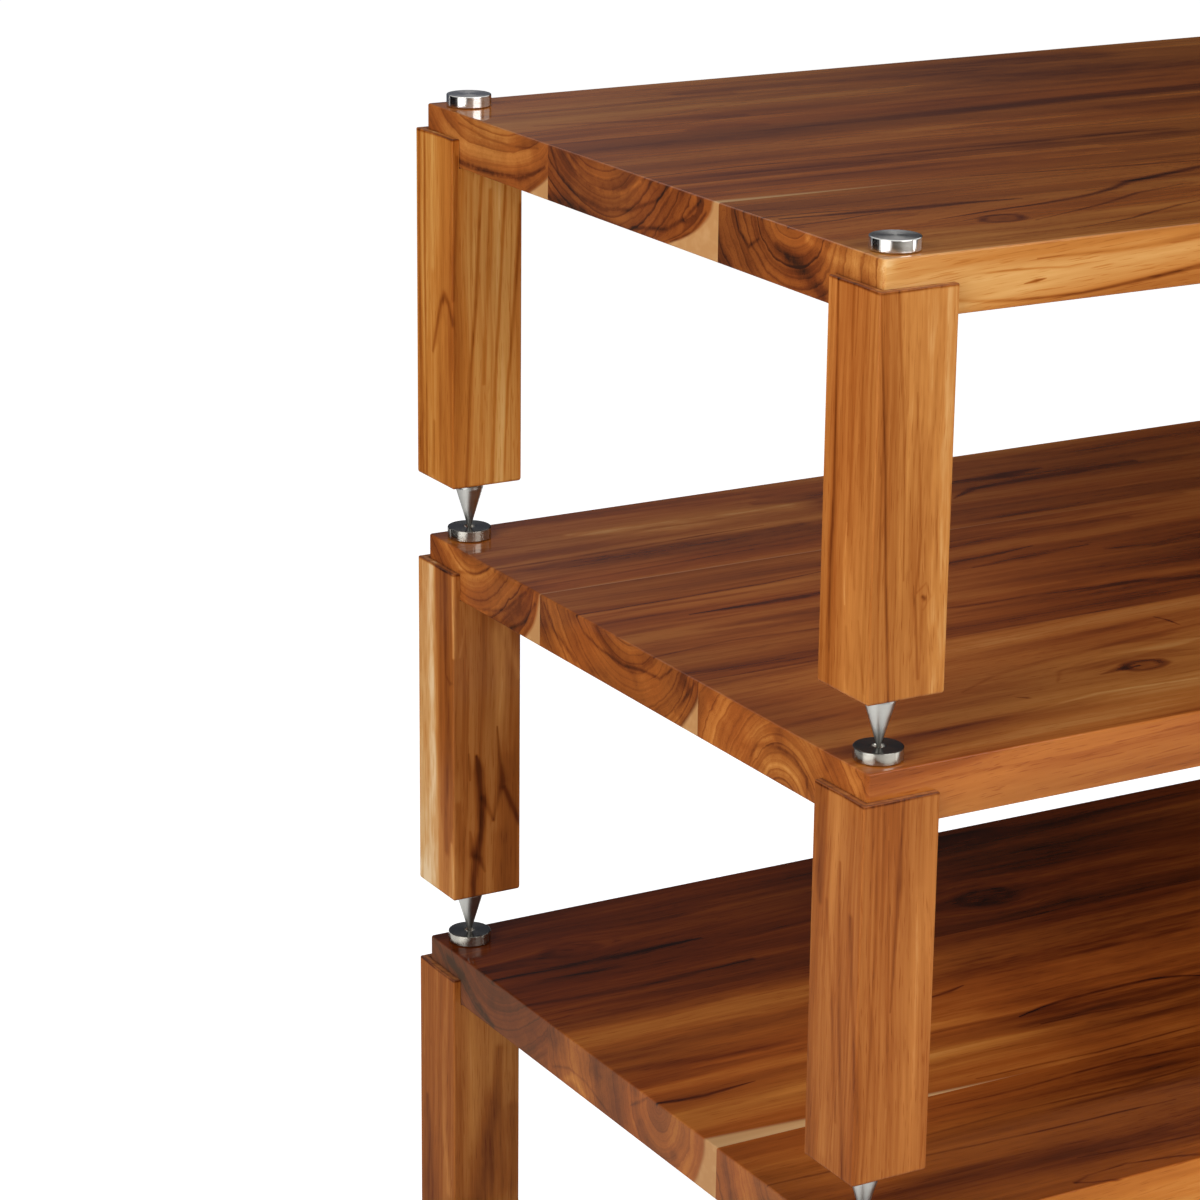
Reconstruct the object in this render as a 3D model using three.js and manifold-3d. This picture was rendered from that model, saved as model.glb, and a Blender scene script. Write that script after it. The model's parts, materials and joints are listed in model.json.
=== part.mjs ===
import * as THREE from "three";
import { mergeVertices } from "three/addons/utils/BufferGeometryUtils.js";
import Module from "manifold-3d";

// A free standing audio rack in solid hardwood, three tiers high. Each tier is an edge glued panel
// on four rebated legs. A turned steel disc at each corner has a stud that passes through the panel
// into the leg and holds the two together. Under each leg a steel spike stands in the dimple of the
// disc below, so that the tiers lift apart and each spike screws in to level its corner.
// Millimetres, +Z up, front towards -Y, origin on the floor under the middle of the rack.

// Panels
const panelWidth = 640;
const panelDepth = 460;
const panelThickness = 30;
const panelCornerRadius = 2;
const panelArris = 1;

// Legs: a square post whose top is rebated, which leaves a lip on each of its two outer sides
const legSection = 44;
const legLength = 200;
const legProud = 4.7; // how far a leg stands out past the panel's edges
const legLipHeight = 16.4; // from the rebate's floor to the lips' top
const legCornerRadius = 2.5;
const legFootArris = 2;
const legLipArris = 0.6;

// Discs: dimpled ones under the spikes, flat ones as caps on the top tier
const discDiameter = 25;
const discHeight = 6.4;
const discArris = 0.5;
const dimpleDiameter = 7;
const dimpleDepth = 2.2;

// The disc's stud, which screws into the leg's end grain
const studDiameter = 8;
const studIntoLeg = 34;
const studPointLength = 4;
const studPointDiameter = 4;

// Spikes: tip, cone, collar and threaded shank in one turned piece
const spikeTipRadius = 0.6;
const spikeConeHeight = 25.2;
const spikeCollarDiameter = 16;
const spikeCollarHeight = 1.8;
const spikeCollarArris = 0.3;
const shankDiameter = 8;
const shankEngagement = 16; // thread inside the leg when the rack stands level
const shankChamfer = 0.8;
const levellingTravel = 4; // how far a spike screws in before its collar meets the leg

// Threaded inserts in the legs' feet
const insertFlangeDiameter = 15;
const insertFlangeThickness = 1.4;
const insertRootDiameter = 10.8;
const insertBarbDiameter = 12.4;
const insertBarbPitch = 5.4;
const insertLength = 20.5;

// Clearances and cutting allowances
const seatClearance = 0.3; // between faces that rest on each other
const boreClearance = 0.3; // round a stud, a shank or an insert, measured on the radius
const boreRunOut = 3; // how much deeper a blind bore is than what it holds
const overrun = 5; // how far a cutter reaches past the face that it enters by

// Counts and shares
const cornerSteps = 2;
const arrisSteps = 2;
const dimpleSteps = 2;
const tipSteps = 2;
const discSides = 20;
const spikeSides = 16;
const insertSides = 10;
const boreSides = 12;
const insertBarbs = 3;
const leastRadiusShare = 0.15; // of a corner radius, kept where an arris is nearly as large

const tierNames = ["bottom", "middle", "top"];
const corners = [
  { name: "front_left", alongX: -1, alongY: -1, quarterTurns: 0 },
  { name: "front_right", alongX: 1, alongY: -1, quarterTurns: 1 },
  { name: "back_right", alongX: 1, alongY: 1, quarterTurns: 2 },
  { name: "back_left", alongX: -1, alongY: 1, quarterTurns: 3 },
];

// Heights in one tier, counted from the face that the disc under its spikes stands on
const spikeTipHeight = discHeight - dimpleDepth + seatClearance;
const collarTopHeight = spikeTipHeight + spikeConeHeight + spikeCollarHeight;
const legFootHeight = collarTopHeight + levellingTravel + seatClearance;
const rebateHeight = legLength - legLipHeight;
const panelUnderside = legFootHeight + rebateHeight + seatClearance;
const tierPitch = panelUnderside + panelThickness + seatClearance;

// A leg's axis is also the axis of its disc, its spike and its insert
const legAxisX = panelWidth / 2 + legProud - legSection / 2;
const legAxisY = panelDepth / 2 + legProud - legSection / 2;

const wasm = await Module();
wasm.setup();

// Solids and geometries

function solidFrom(geometry) {
  const bare = geometry.index ? geometry.toNonIndexed() : geometry.clone();
  bare.deleteAttribute("normal");
  bare.deleteAttribute("uv");
  const merged = mergeVertices(bare);
  const vertProperties = Float32Array.from(merged.attributes.position.array);
  const triVerts = Uint32Array.from(merged.index.array);
  return new wasm.Manifold(new wasm.Mesh({ numProp: 3, vertProperties, triVerts }));
}

function geometryFrom(solid) {
  const mesh = solid.getMesh();
  const geometry = new THREE.BufferGeometry();
  geometry.setAttribute("position", new THREE.BufferAttribute(mesh.vertProperties, mesh.numProp));
  geometry.setIndex(new THREE.BufferAttribute(mesh.triVerts, 1));
  geometry.computeVertexNormals();
  return geometry;
}

// One closed outline of a rectangle with round corners, centred on the axis
function roundedRectangle(width, depth, radius) {
  const points = [];
  corners.forEach(({ alongX, alongY, quarterTurns }) => {
    const centreX = alongX * (width / 2 - radius);
    const centreY = alongY * (depth / 2 - radius);
    for (let step = 0; step <= cornerSteps; step += 1) {
      const angle = Math.PI + (quarterTurns + step / cornerSteps) * (Math.PI / 2);
      points.push([centreX + radius * Math.cos(angle), centreY + radius * Math.sin(angle)]);
    }
  });
  return points;
}

// How the sections of a round arris draw in: pairs of inset and distance from the end face
function arrisSections(arris) {
  const sections = [];
  for (let step = 0; step <= arrisSteps; step += 1) {
    const angle = (step / arrisSteps) * (Math.PI / 2);
    sections.push({ inset: arris * (1 - Math.sin(angle)), rise: arris * (1 - Math.cos(angle)) });
  }
  return sections;
}

// A panel or a post from z = 0 to its height, lofted through rounded rectangles, with one round
// arris along the edges of its lower end and another along those of its upper end
function roundedBlock(width, depth, height, cornerRadius, lowerArris, upperArris) {
  const lower = arrisSections(lowerArris).map(({ inset, rise }) => ({ inset, z: rise }));
  const upper = arrisSections(upperArris).map(({ inset, rise }) => ({ inset, z: height - rise }));
  const rings = [...lower, ...upper.reverse()].map(({ inset, z }) => {
    const radius = Math.max(cornerRadius - inset, cornerRadius * leastRadiusShare);
    const outline = roundedRectangle(width - 2 * inset, depth - 2 * inset, radius);
    return outline.map(([x, y]) => [x, y, z]);
  });
  const count = rings[0].length;
  const positions = [[0, 0, 0], ...rings.flat(), [0, 0, height]];
  const top = positions.length - 1;
  const triangles = [];
  for (let i = 0; i < count; i += 1) {
    const next = (i + 1) % count;
    triangles.push(0, 1 + next, 1 + i);
    triangles.push(top, top - count + i, top - count + next);
    for (let ring = 0; ring < rings.length - 1; ring += 1) {
      const low = 1 + ring * count;
      const high = low + count;
      triangles.push(low + i, low + next, high + next);
      triangles.push(low + i, high + next, high + i);
    }
  }
  const geometry = new THREE.BufferGeometry();
  geometry.setAttribute("position", new THREE.Float32BufferAttribute(positions.flat(), 3));
  geometry.setIndex(triangles);
  return geometry;
}

// A turned piece: its profile is a list of radius and height, read upwards along the outside
function turned(profile, sides) {
  const points = profile.map(([radius, height]) => new THREE.Vector2(radius, height));
  const geometry = new THREE.LatheGeometry(points, sides);
  geometry.rotateX(Math.PI / 2);
  return geometry;
}

// A cylinder that stands on the axis from one height to another
function rod(radius, from, to) {
  const geometry = new THREE.CylinderGeometry(radius, radius, to - from, boreSides);
  geometry.rotateX(Math.PI / 2);
  geometry.translate(0, 0, (from + to) / 2);
  return geometry;
}

// Panel: a glued board with round arrises and a clear hole for the disc's stud at each corner.
// Its underside is at z = 0.
function panelGeometry() {
  const blank = roundedBlock(
    panelWidth, panelDepth, panelThickness, panelCornerRadius, panelArris, panelArris,
  );
  let panel = solidFrom(blank);
  corners.forEach(({ alongX, alongY }) => {
    const hole = rod(studDiameter / 2 + boreClearance, -overrun, panelThickness + overrun);
    hole.translate(alongX * legAxisX, alongY * legAxisY, 0);
    panel = panel.subtract(solidFrom(hole));
  });
  return geometryFrom(panel);
}

// Leg: its foot is at z = 0, and its two lips are on the -X and -Y sides, so that the rebate takes
// the panel's front left corner. A quarter turn brings it to each other corner.
function legGeometry() {
  const post = solidFrom(
    roundedBlock(legSection, legSection, legLength, legCornerRadius, legFootArris, legLipArris),
  );
  return geometryFrom(post.subtract(rebateCutter()).subtract(studBore()).subtract(insertBore()));
}

function rebateCutter() {
  const lipThickness = legProud - boreClearance;
  const across = legSection - lipThickness + overrun;
  const height = legLipHeight + overrun;
  const cutter = new THREE.BoxGeometry(across, across, height);
  const middle = lipThickness - legSection / 2 + across / 2;
  cutter.translate(middle, middle, rebateHeight + height / 2);
  return solidFrom(cutter);
}

function studBore() {
  const depth = studIntoLeg + boreRunOut;
  return solidFrom(rod(studDiameter / 2 + boreClearance, rebateHeight - depth, rebateHeight + overrun));
}

// The foot's bore takes the insert's barrel, and a shallow counterbore takes its flange
function insertBore() {
  const barrel = rod(insertBarbDiameter / 2 + boreClearance, -overrun, insertLength + boreRunOut);
  const flangeDepth = insertFlangeThickness + seatClearance;
  const flange = rod(insertFlangeDiameter / 2 + boreClearance, -overrun, flangeDepth);
  return solidFrom(barrel).add(solidFrom(flange));
}

// Threaded insert: a sleeve that is flush with the leg's foot, from z = 0 up, with barbs that let it
// be driven in and hold it against being drawn out
function insertGeometry() {
  const bore = shankDiameter / 2 + boreClearance;
  const flange = insertFlangeDiameter / 2;
  const root = insertRootDiameter / 2;
  const barb = insertBarbDiameter / 2;
  const profile = [[bore, 0], [flange, 0], [flange, insertFlangeThickness]];
  const firstBarb = insertLength - insertBarbs * insertBarbPitch;
  for (let i = 0; i < insertBarbs; i += 1) {
    const height = firstBarb + i * insertBarbPitch;
    profile.push([root, i === 0 ? insertFlangeThickness : height]);
    profile.push([barb, height]);
  }
  profile.push([root, insertLength], [bore, insertLength], [bore, 0]);
  return turned(profile, insertSides);
}

// Spike: the end of its tip is at z = 0. The tip is a small ball, and the cone leaves it at a tangent.
function spikeGeometry() {
  const collar = spikeCollarDiameter / 2;
  const shank = shankDiameter / 2;
  const aboveBall = spikeConeHeight - spikeTipRadius;
  const ballAngle = Math.asin(spikeTipRadius / Math.hypot(collar, aboveBall));
  const flankAngle = Math.atan2(collar, aboveBall) - ballAngle;
  const profile = [];
  for (let step = 0; step <= tipSteps; step += 1) {
    const angle = -Math.PI / 2 + (step / tipSteps) * (Math.PI / 2 - flankAngle);
    const across = step === 0 ? 0 : spikeTipRadius * Math.cos(angle);
    profile.push([across, spikeTipRadius * (1 + Math.sin(angle))]);
  }
  const collarTop = spikeConeHeight + spikeCollarHeight;
  const shankTop = collarTop + levellingTravel + seatClearance + shankEngagement;
  profile.push([collar, spikeConeHeight]);
  profile.push([collar, collarTop - spikeCollarArris]);
  profile.push([collar - spikeCollarArris, collarTop]);
  profile.push([shank, collarTop]);
  profile.push([shank, shankTop - shankChamfer]);
  profile.push([shank - shankChamfer, shankTop]);
  profile.push([0, shankTop]);
  return turned(profile, spikeSides);
}

// Disc: its underside is at z = 0. The stud below it is pointed, and the dimple is a part of a ball.
function studProfile() {
  const stud = studDiameter / 2;
  const end = -(seatClearance + panelThickness + seatClearance + studIntoLeg);
  return [[0, end], [studPointDiameter / 2, end], [stud, end + studPointLength], [stud, 0]];
}

function dimpleProfile() {
  const mouth = dimpleDiameter / 2;
  const ball = (mouth * mouth + dimpleDepth * dimpleDepth) / (2 * dimpleDepth);
  const mouthAngle = Math.asin(mouth / ball);
  const centreHeight = discHeight - dimpleDepth + ball;
  const profile = [];
  for (let step = 0; step < dimpleSteps; step += 1) {
    const angle = mouthAngle * (1 - step / dimpleSteps);
    profile.push([ball * Math.sin(angle), centreHeight - ball * Math.cos(angle)]);
  }
  profile.push([0, discHeight - dimpleDepth]);
  return profile;
}

function discGeometry({ stud, dimple }) {
  const rim = discDiameter / 2;
  const profile = [
    ...(stud ? studProfile() : [[0, 0]]),
    [rim - discArris, 0],
    [rim, discArris],
    [rim, discHeight - discArris],
    [rim - discArris, discHeight],
    ...(dimple ? dimpleProfile() : [[0, discHeight]]),
  ];
  return turned(profile, discSides);
}

// Finishes

function finish(color, roughness, metalness) {
  return new THREE.MeshStandardMaterial({ color, roughness, metalness });
}

const panelWood = () => finish(0x8a4f26, 0.25, 0);
const legWood = () => finish(0xb8702f, 0.35, 0);
const polishedSteel = () => finish(0xb9b6b0, 0.15, 1);
const satinSteel = () => finish(0xaaa69f, 0.35, 1);
const platedSteel = () => finish(0xc8a45a, 0.4, 1);

// Assembly

const shapes = {
  panel: panelGeometry(),
  leg: legGeometry(),
  insert: insertGeometry(),
  spike: spikeGeometry(),
  receptor: discGeometry({ stud: true, dimple: true }),
  cap: discGeometry({ stud: true, dimple: false }),
  floorDisc: discGeometry({ stud: false, dimple: true }),
};

function piece(name, geometry, material, height) {
  const mesh = new THREE.Mesh(geometry, material);
  mesh.name = name;
  mesh.position.z = height;
  return mesh;
}

// What stands on one leg's axis: the disc on the floor, for the bottom tier only, then the spike,
// the insert, the leg and the disc on the panel
function cornerStack(tierName, corner) {
  const isBottom = tierName === tierNames[0];
  const isTop = tierName === tierNames[tierNames.length - 1];
  const label = `${tierName}_${corner.name}`;
  const stack = new THREE.Group();
  stack.position.set(corner.alongX * legAxisX, corner.alongY * legAxisY, 0);
  stack.rotation.z = corner.quarterTurns * (Math.PI / 2);
  if (isBottom) {
    stack.add(piece(`floor_disc_${corner.name}`, shapes.floorDisc, polishedSteel(), 0));
  }
  stack.add(piece(`${label}_spike`, shapes.spike, satinSteel(), spikeTipHeight));
  stack.add(piece(`${label}_insert`, shapes.insert, platedSteel(), legFootHeight));
  stack.add(piece(`${label}_leg`, shapes.leg, legWood(), legFootHeight));
  const discName = isTop ? `${label}_cap` : `${label}_receptor`;
  stack.add(piece(discName, isTop ? shapes.cap : shapes.receptor, polishedSteel(), tierPitch));
  return stack;
}

const rack = new THREE.Group();
tierNames.forEach((tierName, index) => {
  const tier = new THREE.Group();
  tier.position.z = index * tierPitch;
  tier.add(piece(`${tierName}_panel`, shapes.panel, panelWood(), panelUnderside));
  corners.forEach((corner) => tier.add(cornerStack(tierName, corner)));
  rack.add(tier);
});

export default rack;
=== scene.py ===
# %% [markdown]
# # A rack of three tiers in hardwood
# Three edge glued panels stand one above another. Each panel rests on four rebated legs, each leg
# ends in a steel spike, and each spike stands in the dimple of the steel disc below it.
# The solids already exist, each at its real place, so the lesson starts by loading them as a frame.
# Everything that follows is made in that frame, in metres, and nothing has to be fitted by eye.

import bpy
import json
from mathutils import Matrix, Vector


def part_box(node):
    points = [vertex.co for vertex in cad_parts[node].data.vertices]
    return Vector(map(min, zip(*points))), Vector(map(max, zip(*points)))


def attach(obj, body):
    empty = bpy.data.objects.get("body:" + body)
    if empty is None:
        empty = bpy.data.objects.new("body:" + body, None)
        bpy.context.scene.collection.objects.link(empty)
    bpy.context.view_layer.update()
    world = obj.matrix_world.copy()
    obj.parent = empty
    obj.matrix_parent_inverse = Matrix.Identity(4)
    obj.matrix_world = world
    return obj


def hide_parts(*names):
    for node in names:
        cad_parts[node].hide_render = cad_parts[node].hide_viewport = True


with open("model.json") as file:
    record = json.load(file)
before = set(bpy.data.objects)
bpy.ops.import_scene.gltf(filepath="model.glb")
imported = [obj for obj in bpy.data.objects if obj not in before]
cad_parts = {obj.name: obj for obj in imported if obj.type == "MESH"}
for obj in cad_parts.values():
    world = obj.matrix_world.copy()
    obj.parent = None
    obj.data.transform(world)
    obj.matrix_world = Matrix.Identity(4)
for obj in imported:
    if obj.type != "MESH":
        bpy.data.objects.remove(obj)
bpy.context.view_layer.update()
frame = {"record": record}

# %% [markdown]
# ## Which body carries a piece
# The rack lifts apart tier by tier, and each spike screws up and down by itself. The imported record
# says which body each solid belongs to. A table read from it lets every finished piece ride on the
# body of the solid that it stands for, with no name typed twice.

# %% Bodies of the nodes
import json

import bmesh
import bpy
import numpy as np
from mathutils import Matrix, Vector

bodies = frame["record"]["behaviour"]["bodies"]
body_of = {node: body for body, nodes in bodies.items() for node in nodes}
tiers = ("bottom", "middle", "top")
corners = {"front_left": (-1, -1), "front_right": (1, -1), "back_right": (1, 1), "back_left": (-1, 1)}
print("one disc rides on", body_of["top_front_left_cap"])

# %% [markdown]
# ## The camera
# The photograph was taken from the front left, a little above the top panel, with a long lens. The
# straight edges of the rack vanish towards points far outside the picture, and their places fix the
# camera: a turn to the side, a tilt down and a slight roll. With the lens in the middle of the
# picture no shift is needed, so the same camera also serves every other view.

# %% Camera
def put(name, data):
    """A new object in the scene."""
    made = bpy.data.objects.new(name, data)
    bpy.context.scene.collection.objects.link(made)
    return made


turn, tilt, roll = np.radians((29.637, 17.406, -0.566))
forward = np.array([np.sin(turn) * np.cos(tilt), np.cos(turn) * np.cos(tilt), -np.sin(tilt)])
level = np.array([np.cos(turn), -np.sin(turn), 0.0])
below = np.cross(forward, level)
right = np.cos(roll) * level + np.sin(roll) * below
down = np.cos(roll) * below - np.sin(roll) * level

lens = bpy.data.cameras.new("long_lens")
lens.sensor_width, lens.lens = 36.0, 113.07  # in mm, and only their ratio counts
camera = put("camera", lens)
place = Matrix(np.stack([right, -down, -forward], axis=1).tolist()).to_4x4()
place.translation = (-1.26594, -1.63322, 1.11474)
camera.matrix_world = place
bpy.context.scene.camera = camera
print("camera looks along", np.round(forward, 3))

# %% [markdown]
# ## Surfaces from grids
# A maker thinks of a panel as flat faces, rounded arrises and drilled holes. Each of these is a
# surface with two parameters, so each becomes a grid of points. Welding the grids where their
# borders meet gives one closed skin, and a quad that shrinks to a point on one side becomes a
# triangle. Lengths are in millimetres here, and the last step turns them into metres.

# %% Grids and welding
def grid_quads(rows, columns):
    """Point (r, c) of a grid joins its neighbours to the right, above right and above."""
    r, c = np.meshgrid(np.arange(rows - 1), np.arange(columns - 1), indexing="ij")
    first = r * columns + c
    return np.stack([first, first + 1, first + columns + 1, first + columns], -1).reshape(-1, 4)


def weld(grids, closeness=1e-4):
    """Points that agree to a ten thousandth of a millimetre become one. A quad with two corners in
    one place keeps its three others, and one with fewer is dropped."""
    sizes = np.array([0] + [grid.shape[0] * grid.shape[1] for grid in grids]).cumsum()
    points = np.concatenate([grid.reshape(-1, 3) for grid in grids])
    faces = np.concatenate([grid_quads(*grid.shape[:2]) + start for grid, start in zip(grids, sizes)])
    key = np.round(points / closeness).astype(np.int64)
    _, kept, merged = np.unique(key, axis=0, return_index=True, return_inverse=True)
    faces = merged.reshape(-1)[faces]
    shrunk = faces == np.roll(faces, -1, axis=1)
    quads = faces[shrunk.sum(1) == 0]
    pointed = shrunk.sum(1) == 1
    triangles = faces[pointed][~shrunk[pointed]].reshape(-1, 3)
    return points[kept], quads, triangles


# %% [markdown]
# ## From a skin to a finished piece
# A real arris is never perfectly sharp, and it catches a line of light. So every piece is shaded
# smooth, and a point's normal follows the larger faces around it: the flats stay flat, and only the
# narrow rounded strips turn the light. The function also counts edges that are left open.

# %% Pieces
def face_arrays(mesh):
    """Corner vertex numbers, the face of each corner, and the faces' normals, areas and centres."""
    corner_vertex = np.empty(len(mesh.loops), np.int32)
    mesh.loops.foreach_get("vertex_index", corner_vertex)
    totals = np.empty(len(mesh.polygons), np.int32)
    mesh.polygons.foreach_get("loop_total", totals)
    found = []
    for field, width in (("normal", 3), ("area", 1), ("center", 3)):
        values = np.empty(len(mesh.polygons) * width, np.float32)
        mesh.polygons.foreach_get(field, values)
        found.append(values.reshape(-1, width))
    return corner_vertex, np.repeat(np.arange(len(totals)), totals), *found


def vertex_places(mesh):
    places = np.empty(len(mesh.vertices) * 3, np.float32)
    mesh.vertices.foreach_get("co", places)
    return places.reshape(-1, 3)


def new_piece(name, grids):
    points, quads, triangles = weld(grids)
    mesh = bpy.data.meshes.new(name)
    mesh.from_pydata((points / 1000).tolist(), [], quads.tolist() + triangles.tolist())
    shell = bmesh.new()
    shell.from_mesh(mesh)
    bmesh.ops.recalc_face_normals(shell, faces=shell.faces)
    still_open = sum(not edge.is_manifold for edge in shell.edges)
    shell.to_mesh(mesh)
    shell.free()
    if still_open:
        print(name, "has", still_open, "open edges")
    corner_vertex, corner_face, normals, areas, _ = face_arrays(mesh)
    summed = np.zeros((len(mesh.vertices), 3))
    np.add.at(summed, corner_vertex, (normals * areas)[corner_face])
    summed /= np.linalg.norm(summed, axis=1, keepdims=True)
    mesh.shade_smooth()
    mesh.normals_split_custom_set_from_vertices(summed.tolist())
    return put(name, mesh)


def stand_for(piece, node, finish):
    """The piece takes the node's place, its body and its finish."""
    piece.data.materials.append(finish)
    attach(piece, body_of[node])
    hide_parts(node)


# %% [markdown]
# ## Arithmetic on sockets
# A wood is described best by formulas: a growth ring is a distance from the pith, a streak is a
# noise drawn out along the grain. A small class wraps one socket, so that such a formula is written
# as Python, and each operator adds its own Math node. Colours go through a Mix node instead.

# %% Sockets as values
class Wire:
    """One output socket. Adding, scaling or comparing wires adds Math nodes to their material."""

    def __init__(self, finish, socket):
        self.finish, self.socket = finish, socket

    def math(self, operation, *others):
        return self.finish.node("Math", dict(enumerate((self, *others))), operation=operation)

    def __add__(self, other): return self.math("ADD", other)
    def __sub__(self, other): return self.math("SUBTRACT", other)
    def __mul__(self, other): return self.math("MULTIPLY", other)
    def __truediv__(self, other): return self.math("DIVIDE", other)
    def __pow__(self, other): return self.math("POWER", other)
    def __rsub__(self, other): return (self * -1.0) + other
    __radd__, __rmul__ = __add__, __mul__


def pick(sockets, which):
    """The enabled socket with this place or name."""
    live = [s for s in sockets if s.enabled]
    return live[which] if isinstance(which, int) else next(s for s in live if s.name == which)


class Finish:
    """A material, or the world, whose nodes are made by one method."""

    def __init__(self, owner):
        owner.use_nodes = True
        self.owner, self.tree = owner, owner.node_tree
        self.tree.nodes.clear()

    def node(self, kind, sockets=None, result=0, **settings):
        """Adds a node, makes its settings, then fills its sockets by name or place with a number,
        a colour or a wire. Returns one of its outputs."""
        node = self.tree.nodes.new("ShaderNode" + kind)
        for name, value in settings.items():
            setattr(node, name, value)
        for name, value in (sockets or {}).items():
            socket = pick(node.inputs, name)
            if isinstance(value, Wire):
                self.tree.links.new(value.socket, socket)
            else:
                socket.default_value = value
        return Wire(self, pick(node.outputs, result))

    def output(self, surface, kind="Material"):
        end = self.tree.nodes.new("ShaderNodeOutput" + kind)
        self.tree.links.new(surface.socket, end.inputs["Surface"])


# %% [markdown]
# ## Words for patterns
# A few words are enough for everything on this rack: read an attribute, split a place into its three
# parts or join them, noise that may be drawn out along one direction, a soft step between two
# values, and a blend of two colours. Colours are written as a screen shows them, from 0 to 255, and
# one function turns them into light.

# %% Pattern words
def light(red, green, blue):
    """A colour as the screen shows it, 0 to 255, as linear light."""
    share = np.array([red, green, blue]) / 255
    linear = np.where(share <= 0.04045, share / 12.92, ((share + 0.055) / 1.055) ** 2.4)
    return (*linear.tolist(), 1.0)


def read(finish, name, result="Vector"):
    return finish.node("Attribute", None, result, attribute_name=name)


def parts(finish, vector):
    return [finish.node("SeparateXYZ", {0: vector}, i) for i in range(3)]


def joined(finish, *xyz):
    return finish.node("CombineXYZ", dict(enumerate(xyz)))


def vector(finish, operation, *values):
    return finish.node("VectorMath", dict(enumerate(values)), operation=operation)


def noise(finish, place, scales, shift=(0.0, 0.0, 0.0), detail=2.0, rough=0.5):
    """Noise around 0, mostly between -0.5 and 0.5. Small scales along the grain draw it out."""
    stretched = vector(finish, "MULTIPLY_ADD", place, scales, shift)
    sockets = {"Vector": stretched, "Scale": 1.0, "Detail": detail, "Roughness": rough}
    return finish.node("TexNoise", sockets, "Fac") - 0.5


def step(finish, value, low, high):
    """0 below low, 1 above high, and a smooth S between them. Low may be the larger one."""
    sockets = {"Value": value, "From Min": low, "From Max": high, "To Min": 0.0, "To Max": 1.0}
    return finish.node("MapRange", sockets, interpolation_type="SMOOTHSTEP")


def blend(finish, share, first, second, way="MIX"):
    sockets = {"Factor": share, "A": first, "B": second}
    return finish.node("Mix", sockets, data_type="RGBA", blend_type=way)


# %% [markdown]
# ## How a board remembers its log
# End grain shows rings and the face shows long streaks, yet both are cuts through one block. So the
# wood is a function of the place in the log: how far along it, and how far across from the pith.
# Every face corner stores that place, board by board, and a jump at a glue line comes by itself.
# A second attribute holds how deep the corner lies inside the heartwood and how dark the board is.

# %% Places in the log
def store(mesh, name, values, domain="CORNER"):
    kind, field = ("FLOAT_VECTOR", "vector") if values.ndim == 2 else ("FLOAT", "value")
    attribute = mesh.attributes.new(name, kind, domain)
    attribute.data.foreach_set(field, values.astype(np.float32).reshape(-1))


def remember_log(piece, log, timber, grain, lacquer):
    """Stores each corner's place in the log, its timber values, its share of end grain, which is
    the square of how far its face looks along the grain, and how much lacquer lies on it: one
    share for each direction in the room, weighed by the squares of the face's normal."""
    _, corner_face, normals, _, _ = face_arrays(piece.data)
    looks = normals[corner_face] ** 2
    store(piece.data, "log", log)
    store(piece.data, "timber", timber)
    store(piece.data, "end_grain", looks @ np.array(grain))
    store(piece.data, "lacquer", looks @ np.array(lacquer))


# %% [markdown]
# ## The hardwood
# The tone of a place comes from four layers. A slow wander bends the rings, as no trunk is round.
# Each year's ring darkens towards its end, some years more than others. Broad pigment streaks and
# fine lines run along the grain. Open pores are short dark scratches on a face and dots on an end.
# Near the bark the wood turns to pale sapwood, and its border is a ring like the others.
# A clear coat over all that gives the lacquer its reflections, and the pores below only shade it.

# %% Wood finish
heart_shades = [(0.0, light(40, 17, 7)), (0.25, light(100, 45, 15)), (0.5, light(150, 81, 30)),
                (0.7, light(185, 116, 53)), (0.85, light(206, 149, 86)), (1.0, light(224, 183, 130))]


def growth(finish, log, timber):
    """The distance from the pith, with the log's wander, and the depth inside the heartwood. Near
    the bark the distance follows the sapwood's border, as both are rings of the same trunk."""
    heart, bark, _ = parts(finish, timber)
    _, across, up = parts(finish, log)
    wander = [noise(finish, log, (1.2, 9.0, 9.0), (k * 7.3, 2.1, 5.9), 1.0) * 0.032 for k in (0, 1)]
    ripple = noise(finish, log, (2.5, 95.0, 95.0), (3.1, 4.4, 1.2), 2.0, 0.6) * 0.0065
    across, up = across + wander[0] + ripple, up + wander[1]
    sap_edge = heart + noise(finish, log, (1.8, 34.0, 34.0), (3.0, 1.0, 4.0), 1.0) * 0.005
    near_bark = step(finish, sap_edge, 0.022, 0.0)
    from_pith = (across * across + up * up) ** 0.5
    return from_pith + (bark - sap_edge - from_pith) * near_bark, sap_edge


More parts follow.
